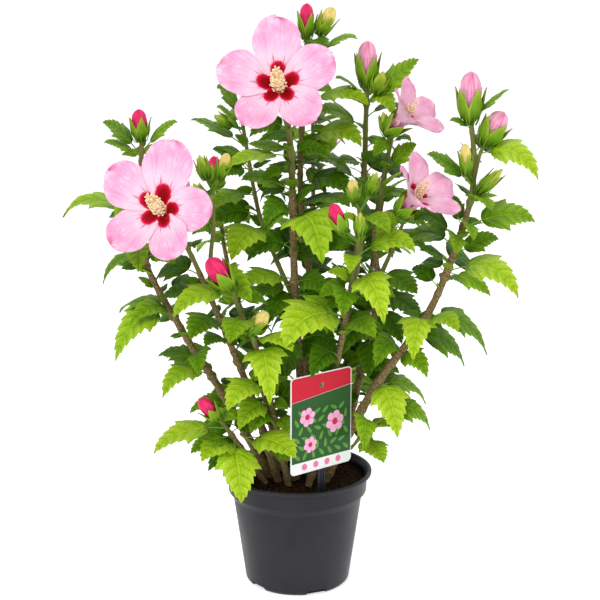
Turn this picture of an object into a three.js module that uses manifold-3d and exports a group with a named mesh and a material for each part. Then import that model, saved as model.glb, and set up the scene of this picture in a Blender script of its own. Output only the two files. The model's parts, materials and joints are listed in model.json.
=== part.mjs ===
// Potted hibiscus shrub in a 17 cm nursery pot: many stems from the soil, lobed drooping
// leaves, open pink blooms and furled buds, and a plant label on a stake.
// Millimetres, +Z up, origin at the centre of the pot's flat underside, -Y is the front.
import * as THREE from 'three';
import { mergeVertices } from 'three/addons/utils/BufferGeometryUtils.js';
import Module from 'manifold-3d';

const wasm = await Module();
wasm.setup();

// ---------------------------------------------------------------- driving dimensions
const LIP_RADIUS = 85;
const LIP_HEIGHT = 4;
const POT_HEIGHT = 132;
const BAND_RADIUS = 79.8;
const BAND_BOTTOM = 108;
const BODY_TOP_RADIUS = 74.6;
const BASE_RADIUS = 59.8;
const POT_WALL = 2;
const POT_FLOOR = 3.5;
const SOIL_TOP = 120;
const POT_SIDES = 32;
const NOTCH_COUNT = 5;
const NOTCH_WIDTH = 24;
const NOTCH_HEIGHT = 6;
const NOTCH_FIRST = 22;
const GAP = 0.3;

const CARD_WIDTH = 86;
const CARD_HEIGHT = 110;
const CARD_THICK = 1.2;
const CARD_CORNER = 5;
const CARD_HOLE = 2.8;
const CARD_TURN = 39;
const CARD_CENTRE = [26, -62, 208.5];
const STAKE_WIDTH = 10;
const STAKE_THICK = 2.4;

const LIMB_SIDES = 6;
const STEM_SIDES = 4;
const STEM_STEP = 44;
const PETIOLE_SHARE = 0.2;
const PETIOLE_RADIUS = 0.9;
const LEAF_HALF_THICK = 0.7;
const LEAF_FOLD = 0.16;
const LEAF_LENGTH = 88;
const LEAF_SPACING = 26;
const LEAF_TURN = 137.5;
const LEAD_CREST = 0.7;   // how far out a lead leaf's arc is bent, as a share of its reach
const LEAN_OUT = 50;
const FRONT_SHIFT = 35;
const LEAF_MARGIN = 4;
const PETAL_COUNT = 5;
const HEART = 15;         // from a bloom's base to its throat, and back to its calyx's foot
const PETAL_NOTCH = 0.72; // how far out the cup reaches between two petals

// the blade's half outline from the stalk to the tip: share of length sideways, and along
const BLADE = [[0.44, 0.36], [0.21, 0.48], [0.22, 0.66], [0, 1]];
// the same for the simpler leaves that grow by the rule
const PLAIN_BLADE = [[0.45, 0.38], [0.27, 0.62], [0, 1]];
// places on the blade that other growth keeps clear of
const BLADE_PROBES = [[0, 0], [0, 0.2], [0, 0.4], [0, 0.6], [0, 0.8], [0, 1], [0.22, 0.2], [0.42, 0.36],
  [0.22, 0.42], [0.2, 0.64], [0.1, 0.82], [-0.22, 0.2], [-0.42, 0.36], [-0.22, 0.42], [-0.2, 0.64],
  [-0.1, 0.82]];

// stems: where each rises from the soil, the places it passes, its radii, and the height
// at which the bare limb gives way to its leafy crown
const STEMS = {
  left_outer: { path: [[-30, 0, 120], [-84, -25, 229], [-128, -40, 308], [-166, -48, 395],
    [-165, -45, 512]], foot: 5.2, tip: 2.3, bare: 222 },
  left_front: { path: [[-22, -12, 120], [-50, -35, 225], [-80, -55, 311], [-108, -72, 385],
    [-134, -72, 438]], foot: 4.8, tip: 2.2, bare: 226 },
  front_left: { path: [[-10, -27, 120], [-22, -46, 190], [-42, -80, 290], [-59, -99, 336],
    [-68, -112, 367]], foot: 4.0, tip: 2.0, bare: 196 },
  low_left: { path: [[-36, -20, 120], [-59, -40, 165],
    [-84, -78, 215]], foot: 3.4, tip: 2.0, bare: 146 },
  centre: { path: [[-3, -8, 120], [5, -15, 200], [-2, -22, 320], [-5, -25, 420], [-6, -27, 475],
    [-9, -30, 520], [-17, -34, 548]], foot: 5.2, tip: 3.1, bare: 250 },
  tall: { path: [[3, 14, 120], [12, 16, 240], [13, 20, 354], [3, 20, 458],
    [10, 10, 617]], foot: 4.8, tip: 2.4, bare: 256 },
  front: { path: [[12, -28, 120], [30, -30, 190], [43, -36, 262], [54, -64, 338],
    [63, -104, 420]], foot: 4.2, tip: 2.0, bare: 214 },
  right_centre: { path: [[18, 8, 120], [40, 15, 230], [62, 25, 340], [73, 26, 450],
    [76, 20, 566]], foot: 4.8, tip: 2.5, bare: 250 },
  right: { path: [[33, 8, 120], [52, 0, 165], [76, 8, 260], [90, 8, 340], [86, 4, 410],
    [102, -12, 515]], foot: 4.8, tip: 2.3, bare: 226 },
  right_outer: { path: [[31, -12, 120], [52, -22, 170], [91, -33, 246], [145, -47, 332],
    [181, -50, 437], [187, -46, 490], [183, -42, 534]], foot: 5.6, tip: 2.5, bare: 206 },
  back_left: { path: [[-20, 25, 120], [-45, 60, 230], [-82, 95, 350],
    [-96, 120, 440]], foot: 4.4, tip: 2.0, bare: 222 },
  back_centre: { path: [[4, 36, 120], [10, 72, 240], [18, 108, 380],
    [18, 128, 520]], foot: 4.4, tip: 2.0, bare: 230 },
  back_right: { path: [[24, 29, 120], [52, 60, 220], [84, 92, 330],
    [102, 110, 436]], foot: 4.4, tip: 2.0, bare: 222 },
};

// branches inside a crown: the stem they leave, the height they leave it at, and their way
const FORKS = {
  left_fork: { from: 'left_front', at: 345, way: [[-93, -62, 385], [-89, -62, 425], [-90, -56, 466]] },
  centre_fork: { from: 'centre', at: 332, way: [[-30, -15, 395], [-45, -3, 440], [-60, 3, 528]] },
  right_fork: { from: 'right', at: 350, way: [[104, -20, 392], [113, -44, 424]] },
  front_fork: { from: 'front', at: 330, way: [[66, -78, 400], [64, -72, 448]] },
  outer_fork: { from: 'right_outer', at: 470, way: [[192, -46, 495], [197, -46, 508]] },
  top_fork: { from: 'tall', at: 560, way: [[19, 10, 596], [24, 8, 620]] },
};

// low side shoots, each its own leafy mass: the limb, the height it leaves at and its tip
const SHOOTS = {
  shoot_front_left: { from: 'front_left', at: 158, way: [-62, -60, 192] },
  shoot_front: { from: 'right_outer', at: 148, way: [72, -30, 180] },
  shoot_left: { from: 'left_outer', at: 172, way: [-82, 20, 205] },
  shoot_right: { from: 'right_outer', at: 184, way: [100, -52, 212] },
  shoot_right_back: { from: 'right', at: 176, way: [92, 42, 214] },
  shoot_back_left: { from: 'back_left', at: 168, way: [-70, 88, 202] },
  shoot_back: { from: 'back_centre', at: 166, way: [2, 96, 200] },
  shoot_back_right: { from: 'back_right', at: 166, way: [66, 92, 204] },
};

// open blooms: the stem that ends in it, the middle of the base, the way it faces, radius, cup
// depth, turn of the first petal, and each petal's share of the radius
const BLOOMS = [
  ['left_front', [-140, -100, 448], [-0.22, -0.92, 0.3], 63, 22, 77, [1.11, 1.02, 0.95, 0.92, 0.95]],
  ['centre', [-19, -60, 569], [-0.06, -0.93, 0.36], 61, 30, 94, [1.08, 1.03, 0.95, 0.96, 1.02]],
  ['right', [104, -25, 527], [0.67, -0.4, 0.63], 34, 36, 68, [1.05, 1, 1, 1.08, 1]],
  ['right_fork', [114, -72, 447], [0.62, -0.44, 0.65], 40, 38, 71, [1.06, 1, 1, 1, 1.04]],
  ['back_centre', [-21, 146, 548], [-0.1, 0.95, 0.3], 50, 24, 90, [1, 1.04, 0.97, 1, 0.98]],
  ['back_left', [-160, 132, 410], [-0.35, 0.9, 0.25], 46, 24, 70, [1, 0.98, 1.03, 1, 1]],
];

// buds: the stem they grow from, the height they leave it at, calyx base, the way they
// point, length, radius
const BUDS = [
  ['left_outer', 508, [-166, -45, 516], [-0.03, 0, 1], 30, 8.5],
  ['left_fork', 462, [-96, -56, 474], [-0.3, 0, 1], 26, 6.5],
  ['left_fork', 458, [-82, -52, 476], [0.35, 0, 1], 26, 6.5],
  ['front_left', 363, [-70, -115, 371], [-0.55, -0.25, 0.8], 38, 11],
  ['low_left', 213, [-88, -84, 220], [-0.5, -0.35, 0.75], 30, 8],
  ['front_left', 300, [-48, -100, 319], [0.6, -0.2, 0.8], 28, 8],
  ['centre_fork', 520, [-72, 0, 524], [-0.8, 0, 0.5], 22, 6],
  ['tall', 614, [10, 10, 621], [0, 0, 1], 33, 8],
  ['top_fork', 617, [25, 8, 624], [0.46, 0, 0.88], 29, 8],
  ['right_centre', 560, [76, 20, 570], [0, -0.05, 1], 44, 11],
  ['right_centre', 545, [86, 10, 558], [0.3, -0.1, 1], 25, 9],
  ['right', 505, [97, -14, 515], [-0.2, 0, 1], 26, 6],
  ['right_outer', 530, [182, -42, 537], [0, 0, 1], 48, 12],
  ['outer_fork', 505, [199, -46, 512], [0.5, 0, 0.87], 36, 12],
  ['right_outer', 470, [178, -60, 482], [-0.1, -0.1, 1], 30, 6],
  ['right_outer', 440, [191, -56, 459], [0.7, -0.1, 0.72], 36, 6.5],
  ['front', 416, [46, -116, 430], [-0.35, -0.2, 0.9], 30, 7.5],
  ['front', 417, [64, -112, 424], [0, -0.1, 1], 24, 6],
  ['front_fork', 444, [60, -74, 454], [-0.15, 0, 1], 22, 6],
  ['front_fork', 440, [76, -72, 460], [0.3, 0, 1], 24, 6],
  ['back_left', 436, [-96, 122, 444], [-0.1, 0.2, 1], 32, 8.5],
  ['back_left', 410, [-110, 128, 422], [-0.6, 0.3, 0.8], 26, 6.5],
  ['back_centre', 470, [34, 140, 482], [0.5, 0.4, 0.8], 28, 7],
  ['back_right', 410, [96, 122, 424], [-0.4, 0.5, 0.8], 28, 7],
];

// large front leaves: the stem, the height they leave it at, the place of the tip, how high
// the arc stands over its chord, and the turn of the blade about its midrib (degrees)
const LEAD_LEAVES = [
  ['left_outer', 428, [-250, -52, 432], 0.5, -8],
  ['left_outer', 386, [-208, -64, 362], 0.6, -2],
  ['left_outer', 322, [-196, -72, 279], 0.62, -14],
  ['left_outer', 324, [-198, -12, 318], 0.4, -7],
  ['left_outer', 262, [-156, -14, 268], 0.32, -14],
  ['left_outer', 250, [-147, -64, 235], 0.6, -8],
  ['left_outer', 497, [-205, -48, 532], 0.25, -24],
  ['left_outer', 498, [-202, -64, 513], 0.12, -22],
  ['left_outer', 500, [-126, -50, 533], 0.2, 22],
  ['low_left', 202, [-155, -92, 181], 0.31, -7],
  ['low_left', 174, [-103, -96, 173], 0.35, -15],
  ['low_left', 188, [-60, -110, 131], 0.25, -8],
  ['shoot_front_left', 188, [-2, -110, 182], 0.25, 15],
  ['front_left', 290, [-29, -112, 241], 0.98, 5],
  ['front_left', 248, [-74, -110, 234], 0.5, -15],
  ['front_left', 226, [-63, -92, 207], 0.5, -20],
  ['centre_fork', 412, [-70, -72, 389], 0.4, -15],
  ['centre', 418, [26, -98, 390], 0.75, 15],
  ['front', 322, [-14, -128, 308], 0.45, -20],
  ['front', 366, [90, -116, 330], 0.83, 15],
  ['front', 396, [121, -112, 405], 0.5, 22],
  ['right_outer', 244, [109, -72, 192], 0.5, 10],
  ['right_outer', 238, [144, -22, 215], 0.5, 12],
  ['shoot_front', 177, [94, -80, 166], 0.2, 4],
  ['right_outer', 316, [123, -84, 282], 0.85, -5],
  ['right_outer', 312, [171, -82, 313], 0.5, 15],
  ['right_outer', 318, [209, -36, 276], 0.5, 20],
  ['right_outer', 292, [187, -14, 257], 0.5, 34],
  ['right_outer', 372, [234, -80, 350], 0.52, 18],
  ['right_outer', 420, [253, -54, 427], 0.28, 30],
  ['right_outer', 496, [252, -68, 475], 0.54, 24],
  ['right_outer', 352, [124, -30, 370], 0.38, -29],
  ['right_outer', 380, [130, -62, 398], 0.25, -29],
  ['centre_fork', 500, [-116, 6, 530], 0.15, -8],
  ['front_left', 356, [-127, -136, 341], 0.5, -12],
  ['left_front', 322, [-112, -110, 312], 0.36, -20],
  ['left_front', 296, [-98, -88, 299], 0.35, -20],
  ['top_fork', 597, [64, 0, 617], 0.3, 16],
  ['right_centre', 546, [131, 8, 595], 0.04, 36],
  ['right_outer', 538, [221, -48, 567], 0.06, 10],
  ['right_outer', 524, [160, -50, 534], 0.26, -27],
  ['right_outer', 388, [215, -52, 408], 0.25, 33],
  ['right', 505, [122, -22, 509], 0.5, 20],
  ['shoot_right', 202, [148, -34, 189], 0.68, 24],
  ['right_outer', 404, [124, -56, 429], 0.5, -31],
  ['centre', 456, [-60, -40, 470], 0.25, -24],
  ['right_centre', 452, [21, 6, 483], 0.4, -24],
  ['right_centre', 516, [23, 0, 538], 0.3, -30],
  ['tall', 500, [69, -15, 503], 0.49, 24],
  ['centre', 494, [-76, -60, 484], 0.24, -8],
  ['centre_fork', 474, [-92, -14, 500], 0.16, -29],
  ['tall', 545, [76, -16, 547], 0.35, 15],
  ['centre', 500, [-53, -22, 507], 0.05, -20],
  ['tall', 496, [32, -22, 490], 0.5, 24],
  ['tall', 458, [59, -12, 448], 0.45, 26],
  ['tall', 434, [56, -34, 440], 0.25, 10],
  ['centre', 450, [-41, -18, 443], 0.66, -24],
  ['centre', 436, [-35, -50, 420], 0.8, -34],
  ['centre_fork', 448, [-97, -30, 433], 0.35, -15],
  ['centre', 358, [-62, -62, 355], 0.3, -15],
  ['centre', 346, [-32, -52, 314], 0.4, -22],
  ['front_left', 306, [-5, -128, 304], 0.35, 8],
  ['front_left', 318, [-71, -122, 321], 0.1, -15],
  ['right_centre', 552, [41, 2, 575], 0.2, -20],
  ['right_centre', 548, [104, -4, 534], 0.76, 24],
  ['right', 513, [82, -24, 493], 0.25, -50],
  ['right', 474, [129, -10, 505], 0.15, 44],
  ['right', 450, [110, -28, 474], 0.3, 15],
  ['right_outer', 466, [136, -56, 500], 0.12, -27],
  ['tall', 600, [-13, 0, 637], -0.06, -24],
  ['centre_fork', 526, [-87, 0, 564], 0.45, -30],
  ['right', 364, [131, -32, 344], 0.1, 26],
  ['right', 340, [136, -25, 317], 0.1, 18],
  ['right_outer', 372, [207, -62, 348], 0.2, 20],
  ['right_outer', 268, [141, -62, 257], 0.7, 27],
  ['front_left', 204, [-10, -72, 192], 0.81, 22],
  ['left_outer', 350, [-172, -50, 366], 0.1, -25],
  ['left_front', 372, [-156, -40, 357], 0.45, -30],
  ['left_outer', 296, [-141, -30, 295], 0.2, -20],
  ['low_left', 190, [-116, -80, 177], 0.2, -20],
  ['right', 398, [140, -24, 390], 0.35, 15],
  ['right_outer', 368, [184, -34, 352], 0.3, -24],
  ['centre_fork', 508, [-87, -12, 545], 0.25, -26],
  ['centre', 500, [-38, -30, 501], 0.2, -24],
  ['centre', 300, [-12, -30, 248], 0.2, -12],
  ['right', 290, [79, -20, 245], 0.25, 10],
  ['centre', 484, [-38, -34, 467], 0.3, -30],
  ['centre_fork', 484, [-85, -4, 498], 0.3, -20],
  ['centre', 440, [-32, -48, 416], 0.5, -20],
  ['centre_fork', 476, [-82, -26, 471], 0.3, -36],
  ['tall', 478, [32, 12, 446], 0.3, 26],
  ['right_centre', 478, [44, 2, 481], 0.3, -26],
  ['right_centre', 508, [94, 12, 497], 0.3, 22],
  ['centre', 352, [-52, -40, 339], 0.25, -22],
  ['left_front', 345, [-148, -60, 341], 0.4, -20],
  ['right', 318, [116, -20, 284], 0.3, 18],
  ['right_outer', 370, [135, -22, 375], 0.4, -20],
  ['right_outer', 418, [165, -44, 455], 0.12, -24],
];

// lines of sight from the front that the crown leaves open: x and z where each crosses the
// plane of the front stems, and its radius
const EYE = [0, -1525, 679];
const OPENINGS_AT = -40;
const OPENINGS = [
  [-42, 372, 10], [-14, 372, 7], [100, 372, 10], [-112, 322, 8], [-94, 298, 7], [-78, 386, 8],
  [-91, 494, 8], [14, 476, 7], [47, 500, 5], [81, 526, 6], [-29, 449, 6], [-104, 378, 6],
  [-16, 306, 5], [4, 372, 4], [124, 340, 7], [-132, 238, 9], [-104, 468, 8], [128, 272, 8],
  [172, 333, 12], [134, 338, 6], [-91, 513, 7], [102, 145, 6], [-110, 239, 8], [-115, 384, 5],
  [85, 214, 6], [36, 509, 4], [-147, 305, 7], [-89, 279, 3], [-72, 258, 3], [41, 389, 2],
  [60, 164, 8],
];

// ---------------------------------------------------------------- small vector helpers
const rad = THREE.MathUtils.degToRad;
const add = (a, b) => [a[0] + b[0], a[1] + b[1], a[2] + b[2]];
const sub = (a, b) => [a[0] - b[0], a[1] - b[1], a[2] - b[2]];
const mul = (a, k) => [a[0] * k, a[1] * k, a[2] * k];
const dot = (a, b) => a[0] * b[0] + a[1] * b[1] + a[2] * b[2];
const mix = (a, b, t) => [a[0] + (b[0] - a[0]) * t, a[1] + (b[1] - a[1]) * t, a[2] + (b[2] - a[2]) * t];
const cross = (a, b) => [
  a[1] * b[2] - a[2] * b[1],
  a[2] * b[0] - a[0] * b[2],
  a[0] * b[1] - a[1] * b[0],
];
const unit = (a) => mul(a, 1 / Math.sqrt(dot(a, a)));
const distance = (a, b) => Math.sqrt(dot(sub(a, b), sub(a, b)));

function seeded(seed) {
  let state = seed >>> 0;
  return () => {
    state = (Math.imul(state, 1664525) + 1013904223) >>> 0;
    return state / 4294967296;
  };
}

// ---------------------------------------------------------------- limbs
// a limb is a smooth curve through its places, kept as close stations with their radii
function makeLimb(name, places, footRadius, tipRadius) {
  const curve = new THREE.CatmullRomCurve3(places.map((p) => new THREE.Vector3(...p)), false,
    'catmullrom', 0.5);
  const count = 12 * (places.length - 1);
  const points = [];
  for (let i = 0; i <= count; i += 1) {
    points.push(curve.getPoint(i / count).toArray());
  }
  const lengths = [0];
  for (let i = 1; i <= count; i += 1) {
    lengths.push(lengths[i - 1] + distance(points[i], points[i - 1]));
  }
  return { name, points, lengths, length: lengths[count], footRadius, tipRadius };
}

// the place and direction at a distance along a limb
function along(limb, at) {
  const last = limb.points.length - 1;
  let i = 1;
  while (i < last && limb.lengths[i] < at) {
    i += 1;
  }
  const span = limb.lengths[i] - limb.lengths[i - 1];
  const share = (at - limb.lengths[i - 1]) / span;
  return {
    place: mix(limb.points[i - 1], limb.points[i], share),
    way: unit(sub(limb.points[i], limb.points[i - 1])),
    radius: limb.footRadius + (limb.tipRadius - limb.footRadius) * (at / limb.length),
  };
}

// how far along a limb a height is reached
function reach(limb, height) {
  const last = limb.points.length - 1;
  let i = 1;
  while (i < last && limb.points[i][2] < height) {
    i += 1;
  }
  const low = limb.points[i - 1][2];
  const high = limb.points[i][2];
  const share = Math.min(1, Math.max(0, (height - low) / (high - low)));
  return limb.lengths[i - 1] + share * (limb.lengths[i] - limb.lengths[i - 1]);
}

// ---------------------------------------------------------------- leaves
// a leaf hangs on an arc in one upright plane: root, crown of the arc, tip
function makeLeaf(owner, root, bend, tip, turn, lobes) {
  const flat = sub(tip, root);
  const heading = Math.atan2(flat[1], flat[0]);
  const chord = distance(root, tip);
  const rails = distance(root, bend) + distance(bend, tip);
  const length = (2 * chord + rails) / 3;
  return {
    owner,
    root,
    bend,
    tip,
    side: [-Math.sin(heading), Math.cos(heading), 0],
    turn: rad(turn),
    lobes,
    blade: length * (1 - PETIOLE_SHARE),
  };
}

// a place on the leaf: across and along in shares of the blade, raise in millimetres
function onLeaf(leaf, across, alongBlade, raise) {
  const s = PETIOLE_SHARE + (1 - PETIOLE_SHARE) * alongBlade;
  const centre = add(add(mul(leaf.root, (1 - s) * (1 - s)), mul(leaf.bend, 2 * s * (1 - s))),
    mul(leaf.tip, s * s));
  const way = unit(add(mul(sub(leaf.bend, leaf.root), 1 - s), mul(sub(leaf.tip, leaf.bend), s)));
  const up = cross(way, leaf.side);
  const side = add(mul(leaf.side, Math.cos(leaf.turn)), mul(up, Math.sin(leaf.turn)));
  const face = add(mul(up, Math.cos(leaf.turn)), mul(leaf.side, -Math.sin(leaf.turn)));
  const fold = Math.abs(across) * LEAF_FOLD * leaf.blade;
  return add(add(centre, mul(side, across * leaf.blade)), mul(face, raise + fold));
}

// the turn that lets a blade's face lean away from the middle of the shrub, to the front or
// the back more than to the sides
function outwardTurn(root, side) {
  const outX = 0.45 * root[0];
  const outY = root[1] - FRONT_SHIFT;
  const spread = Math.sqrt(outX * outX + outY * outY) + 1;
  const lean = (outX * side[0] + outY * side[1]) / spread;
  return -LEAN_OUT * lean * Math.min(1, spread / 30);
}

function leafProbes(leaf) {
  const probes = [];
  for (const share of [0.45, 0.8]) {
    const s = PETIOLE_SHARE * share;
    const centre = add(add(mul(leaf.root, (1 - s) * (1 - s)), mul(leaf.bend, 2 * s * (1 - s))),
      mul(leaf.tip, s * s));
    probes.push({ p: centre, r: 1.2, stalk: true });
  }
  for (const [across, alongBlade] of BLADE_PROBES) {
    const width = Math.abs(across) > 0.3 ? across * leaf.lobes : across;
    probes.push({ p: onLeaf(leaf, width, alongBlade, 0), r: LEAF_MARGIN, stalk: false });
  }
  return probes;
}

// ---------------------------------------------------------------- what growth keeps clear of
const taken = [];

function takeLimb(limb, owner) {
  const count = Math.ceil(limb.length / 6);
  for (let i = 0; i <= count; i += 1) {
    const spot = along(limb, (limb.length * i) / count);
    taken.push({ p: spot.place, r: spot.radius - 0.4, owner, limb: true });
  }
}

const cardTurn = rad(CARD_TURN);
const cardAcross = [Math.cos(cardTurn), Math.sin(cardTurn), 0];
const cardOut = [Math.sin(cardTurn), -Math.cos(cardTurn), 0];

function clearOfPotAndCard(p, r) {
  const spread = Math.sqrt(p[0] * p[0] + p[1] * p[1]);
  if (p[2] < POT_HEIGHT + 2 + r * 0.5 && spread < LIP_RADIUS + 2 + r * 0.5) {
    const inside = spread < BODY_TOP_RADIUS - 4 && p[2] > SOIL_TOP + 5;
    if (!inside) {
      return false;
    }
  }
  const off = sub(p, CARD_CENTRE);
  const across = Math.abs(dot(off, cardAcross));
  const depth = Math.abs(dot(off, cardOut));
  if (depth < 2.5 + r && across < CARD_WIDTH / 2 + r && Math.abs(off[2]) < CARD_HEIGHT / 2 + r) {
    return false;
  }
  return !(off[2] < 0 && across < STAKE_WIDTH / 2 + r && depth < 2 + r);
}

const openLines = OPENINGS.map(([x, z, radius]) => {
  const place = [x, OPENINGS_AT, z];
  return { place, way: unit(sub(place, EYE)), radius };
});

function leavesOpenings(p, r) {
  for (const line of openLines) {
    const off = sub(p, line.place);
    const apart = sub(off, mul(line.way, dot(off, line.way)));
    if (dot(apart, apart) < (r + line.radius) ** 2) {
      return false;
    }
  }
  return true;
}

function isClear(probes, owner) {
  for (const probe of probes) {
    if (!clearOfPotAndCard(probe.p, probe.r) || !leavesOpenings(probe.p, probe.r)) {
      return false;
    }
    for (const other of taken) {
      let room = other.r + probe.r;
      if (other.limb && other.owner === owner) {
        if (probe.stalk) {
          continue;
        }
        room -= 2.5;
      }
      const dx = probe.p[0] - other.p[0];
      const dy = probe.p[1] - other.p[1];
      const dz = probe.p[2] - other.p[2];
      if (dx * dx + dy * dy + dz * dz < room * room) {
        return false;
      }
    }
  }
  return true;
}

function takeProbes(probes, owner) {
  for (const probe of probes) {
    taken.push({ p: probe.p, r: probe.r, owner, limb: false });
  }
}

// ---------------------------------------------------------------- blooms and buds
function bloomFrame(facing, turn) {
  const out = unit(facing);
  const level = unit(cross([0, 0, 1], out));
  const rise = cross(out, level);
  return (radius, angle, depth) => {
    const a = rad(turn + angle);
    return add(add(mul(level, radius * Math.cos(a)), mul(rise, radius * Math.sin(a))),
      mul(out, depth));
  };
}

// depth of the petals at a share of the bloom's radius, from the calyx end
function cupDepth(share, cup) {
  return cup * share * (1.6 - 0.6 * share);
}

function bloomProbes(bloom) {
  const [, base, facing, radius, cup, turn] = bloom;
  const at = bloomFrame(facing, turn);
  const throat = add(base, mul(unit(facing), HEART));
  const probes = [{ p: base, r: 9 }, { p: throat, r: 9 }];
  for (const [share, count] of [[0.3, 6], [0.55, 10], [0.8, 14], [1, 18]]) {
    for (let i = 0; i < count; i += 1) {
      const spot = at(radius * share, (360 * i) / count, cupDepth(share, cup));
      probes.push({ p: add(base, spot), r: 6 });
    }
  }
  return probes;
}

function budProbes(bud) {
  const [, , base, way, length, radius] = bud;
  const out = unit(way);
  const probes = [];
  for (const share of [0.1, 0.4, 0.75, 1]) {
    probes.push({ p: add(base, mul(out, length * share)), r: radius * (share > 0.7 ? 0.6 : 1) });
  }
  return probes;
}

// ---------------------------------------------------------------- growth
const limbs = {};
const crownOf = {};
for (const [name, stem] of Object.entries(STEMS)) {
  limbs[name] = makeLimb(name, stem.path, stem.foot, stem.tip);
  crownOf[name] = name;
}
for (const [name, fork] of Object.entries(FORKS)) {
  const parent = limbs[fork.from];
  const root = along(parent, reach(parent, fork.at));
  limbs[name] = makeLimb(name, [root.place, ...fork.way], Math.min(2.8, root.radius), 1.8);
  crownOf[name] = fork.from;
}
for (const [name, shoot] of Object.entries(SHOOTS)) {
  const parent = limbs[shoot.from];
  const root = along(parent, reach(parent, shoot.at));
  const middle = mix(root.place, shoot.way, 0.5);
  middle[2] -= 3;
  limbs[name] = makeLimb(name, [root.place, middle, shoot.way], 2.2, 1.5);
  crownOf[name] = name;
}
for (const [name, limb] of Object.entries(limbs)) {
  takeLimb(limb, name);
}
for (const bloom of BLOOMS) {
  takeProbes(bloomProbes(bloom), bloom[0]);
}
for (const bud of BUDS) {
  takeProbes(budProbes(bud), bud[0]);
}

const leaves = [];
for (const [name, height, tip, arch, turn] of LEAD_LEAVES) {
  const root = along(limbs[name], reach(limbs[name], height)).place;
  const crest = [0, 0, arch * distance(root, tip)];
  const bend = add(mix(root, tip, LEAD_CREST), crest);
  const leaf = makeLeaf(name, root, bend, tip, turn, 1);
  leaf.lead = true;
  leaves.push(leaf);
  takeProbes(leafProbes(leaf), name);
}

// one leaf by the rule: its heading is tried a little to either side, then smaller
function tryLeaf(name, limb, at, heading, length, lift, droop, lobes, shake) {
  const root = along(limb, at).place;
  for (const scale of [1, 0.82, 0.66]) {
    for (const swing of [0, 28, -28, 56, -56]) {
      const h = rad(heading + swing);
      const rise = rad(lift);
      const fall = rad(droop);
      const size = length * scale;
      const first = [Math.cos(rise) * Math.cos(h), Math.cos(rise) * Math.sin(h), Math.sin(rise)];
      const second = [Math.cos(fall) * Math.cos(h), Math.cos(fall) * Math.sin(h), Math.sin(fall)];
      const bend = add(root, mul(first, size * 0.5));
      const tip = add(bend, mul(second, size * 0.54));
      const side = [-Math.sin(h), Math.cos(h), 0];
      const leaf = makeLeaf(name, root, bend, tip, outwardTurn(root, side) + shake, lobes);
      const probes = leafProbes(leaf);
      if (isClear(probes, name)) {
        leaves.push(leaf);
        takeProbes(probes, name);
        return true;
      }
    }
  }
  return false;
}

function growAlong(name, random) {
  const limb = limbs[name];
  const stem = STEMS[name];
  const isShoot = name in SHOOTS;
  const start = stem ? reach(limb, stem.bare) + 10 : (isShoot ? 14 : 24);
  const spacing = isShoot ? 13 : LEAF_SPACING;
  let heading = random() * 360;
  for (let at = start; at < limb.length - 3; at += spacing) {
    const spot = along(limb, at);
    const share = at / limb.length;
    const low = spot.place[2] < 300;
    const young = stem || isShoot ? Math.max(0, share - 0.72) * 1.3 : 0.22;
    const length = LEAF_LENGTH * (0.84 + 0.26 * random()) * (1 - young);
    const lift = 28 + 24 * random();
    const droop = (low ? -74 : -60) + 26 * random();
    const shake = -12 + 24 * random();
    const lobes = 0.72 + 0.34 * random() - young * 0.8;
    tryLeaf(name, limb, at, heading, length, lift, droop, lobes, shake);
    heading += LEAF_TURN;
  }
}

const random = seeded(20240);
for (const name of Object.keys(limbs)) {
  growAlong(name, random);
}
// a second, smaller leaf opposite some of the first
for (const name of Object.keys(STEMS)) {
  const limb = limbs[name];
  let heading = random() * 360;
  for (let at = reach(limb, STEMS[name].bare) + 20; at < limb.length - 8; at += 1.6 * LEAF_SPACING) {
    const length = LEAF_LENGTH * (0.62 + 0.2 * random());
    const lobes = 0.62 + 0.3 * random();
    tryLeaf(name, limb, at, heading, length, 36, -30 - 20 * random(), lobes, -10 + 20 * random());
    heading += LEAF_TURN;
  }
}

// ---------------------------------------------------------------- solids
// a closed geometry becomes a solid: shared corners merged, empty faces dropped, faces out
function toSolid(geometry) {
  const bare = new THREE.BufferGeometry();
  bare.setAttribute('position', geometry.getAttribute('position'));
  if (geometry.index) {
    bare.setIndex(geometry.index);
  }
  const merged = mergeVertices(bare, 1e-4);
  const index = merged.index.array;
  const triangles = [];
  for (let i = 0; i < index.length; i += 3) {
    const [a, b, c] = [index[i], index[i + 1], index[i + 2]];
    if (a !== b && b !== c && c !== a) {
      triangles.push(a, b, c);
    }
  }
  const vertProperties = new Float32Array(merged.getAttribute('position').array);
  const build = (tris) => new wasm.Manifold(new wasm.Mesh({
    numProp: 3, vertProperties, triVerts: new Uint32Array(tris),
  }));
  let body = build(triangles);
  if (body.volume() < 0) {
    const flipped = [];
    for (let i = 0; i < triangles.length; i += 3) {
      flipped.push(triangles[i], triangles[i + 2], triangles[i + 1]);
    }
    body = build(flipped);
  }
  return body;
}

function toGeometry(solid) {
  const mesh = solid.getMesh();
  const geometry = new THREE.BufferGeometry();
  geometry.setAttribute('position', new THREE.BufferAttribute(new Float32Array(mesh.vertProperties), 3));
  geometry.setIndex(new THREE.BufferAttribute(new Uint32Array(mesh.triVerts), 1));
  geometry.computeVertexNormals();
  return geometry;
}

function largestBody(solid) {
  const bodies = solid.decompose();
  bodies.sort((a, b) => b.volume() - a.volume());
  return bodies[0];
}

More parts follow.
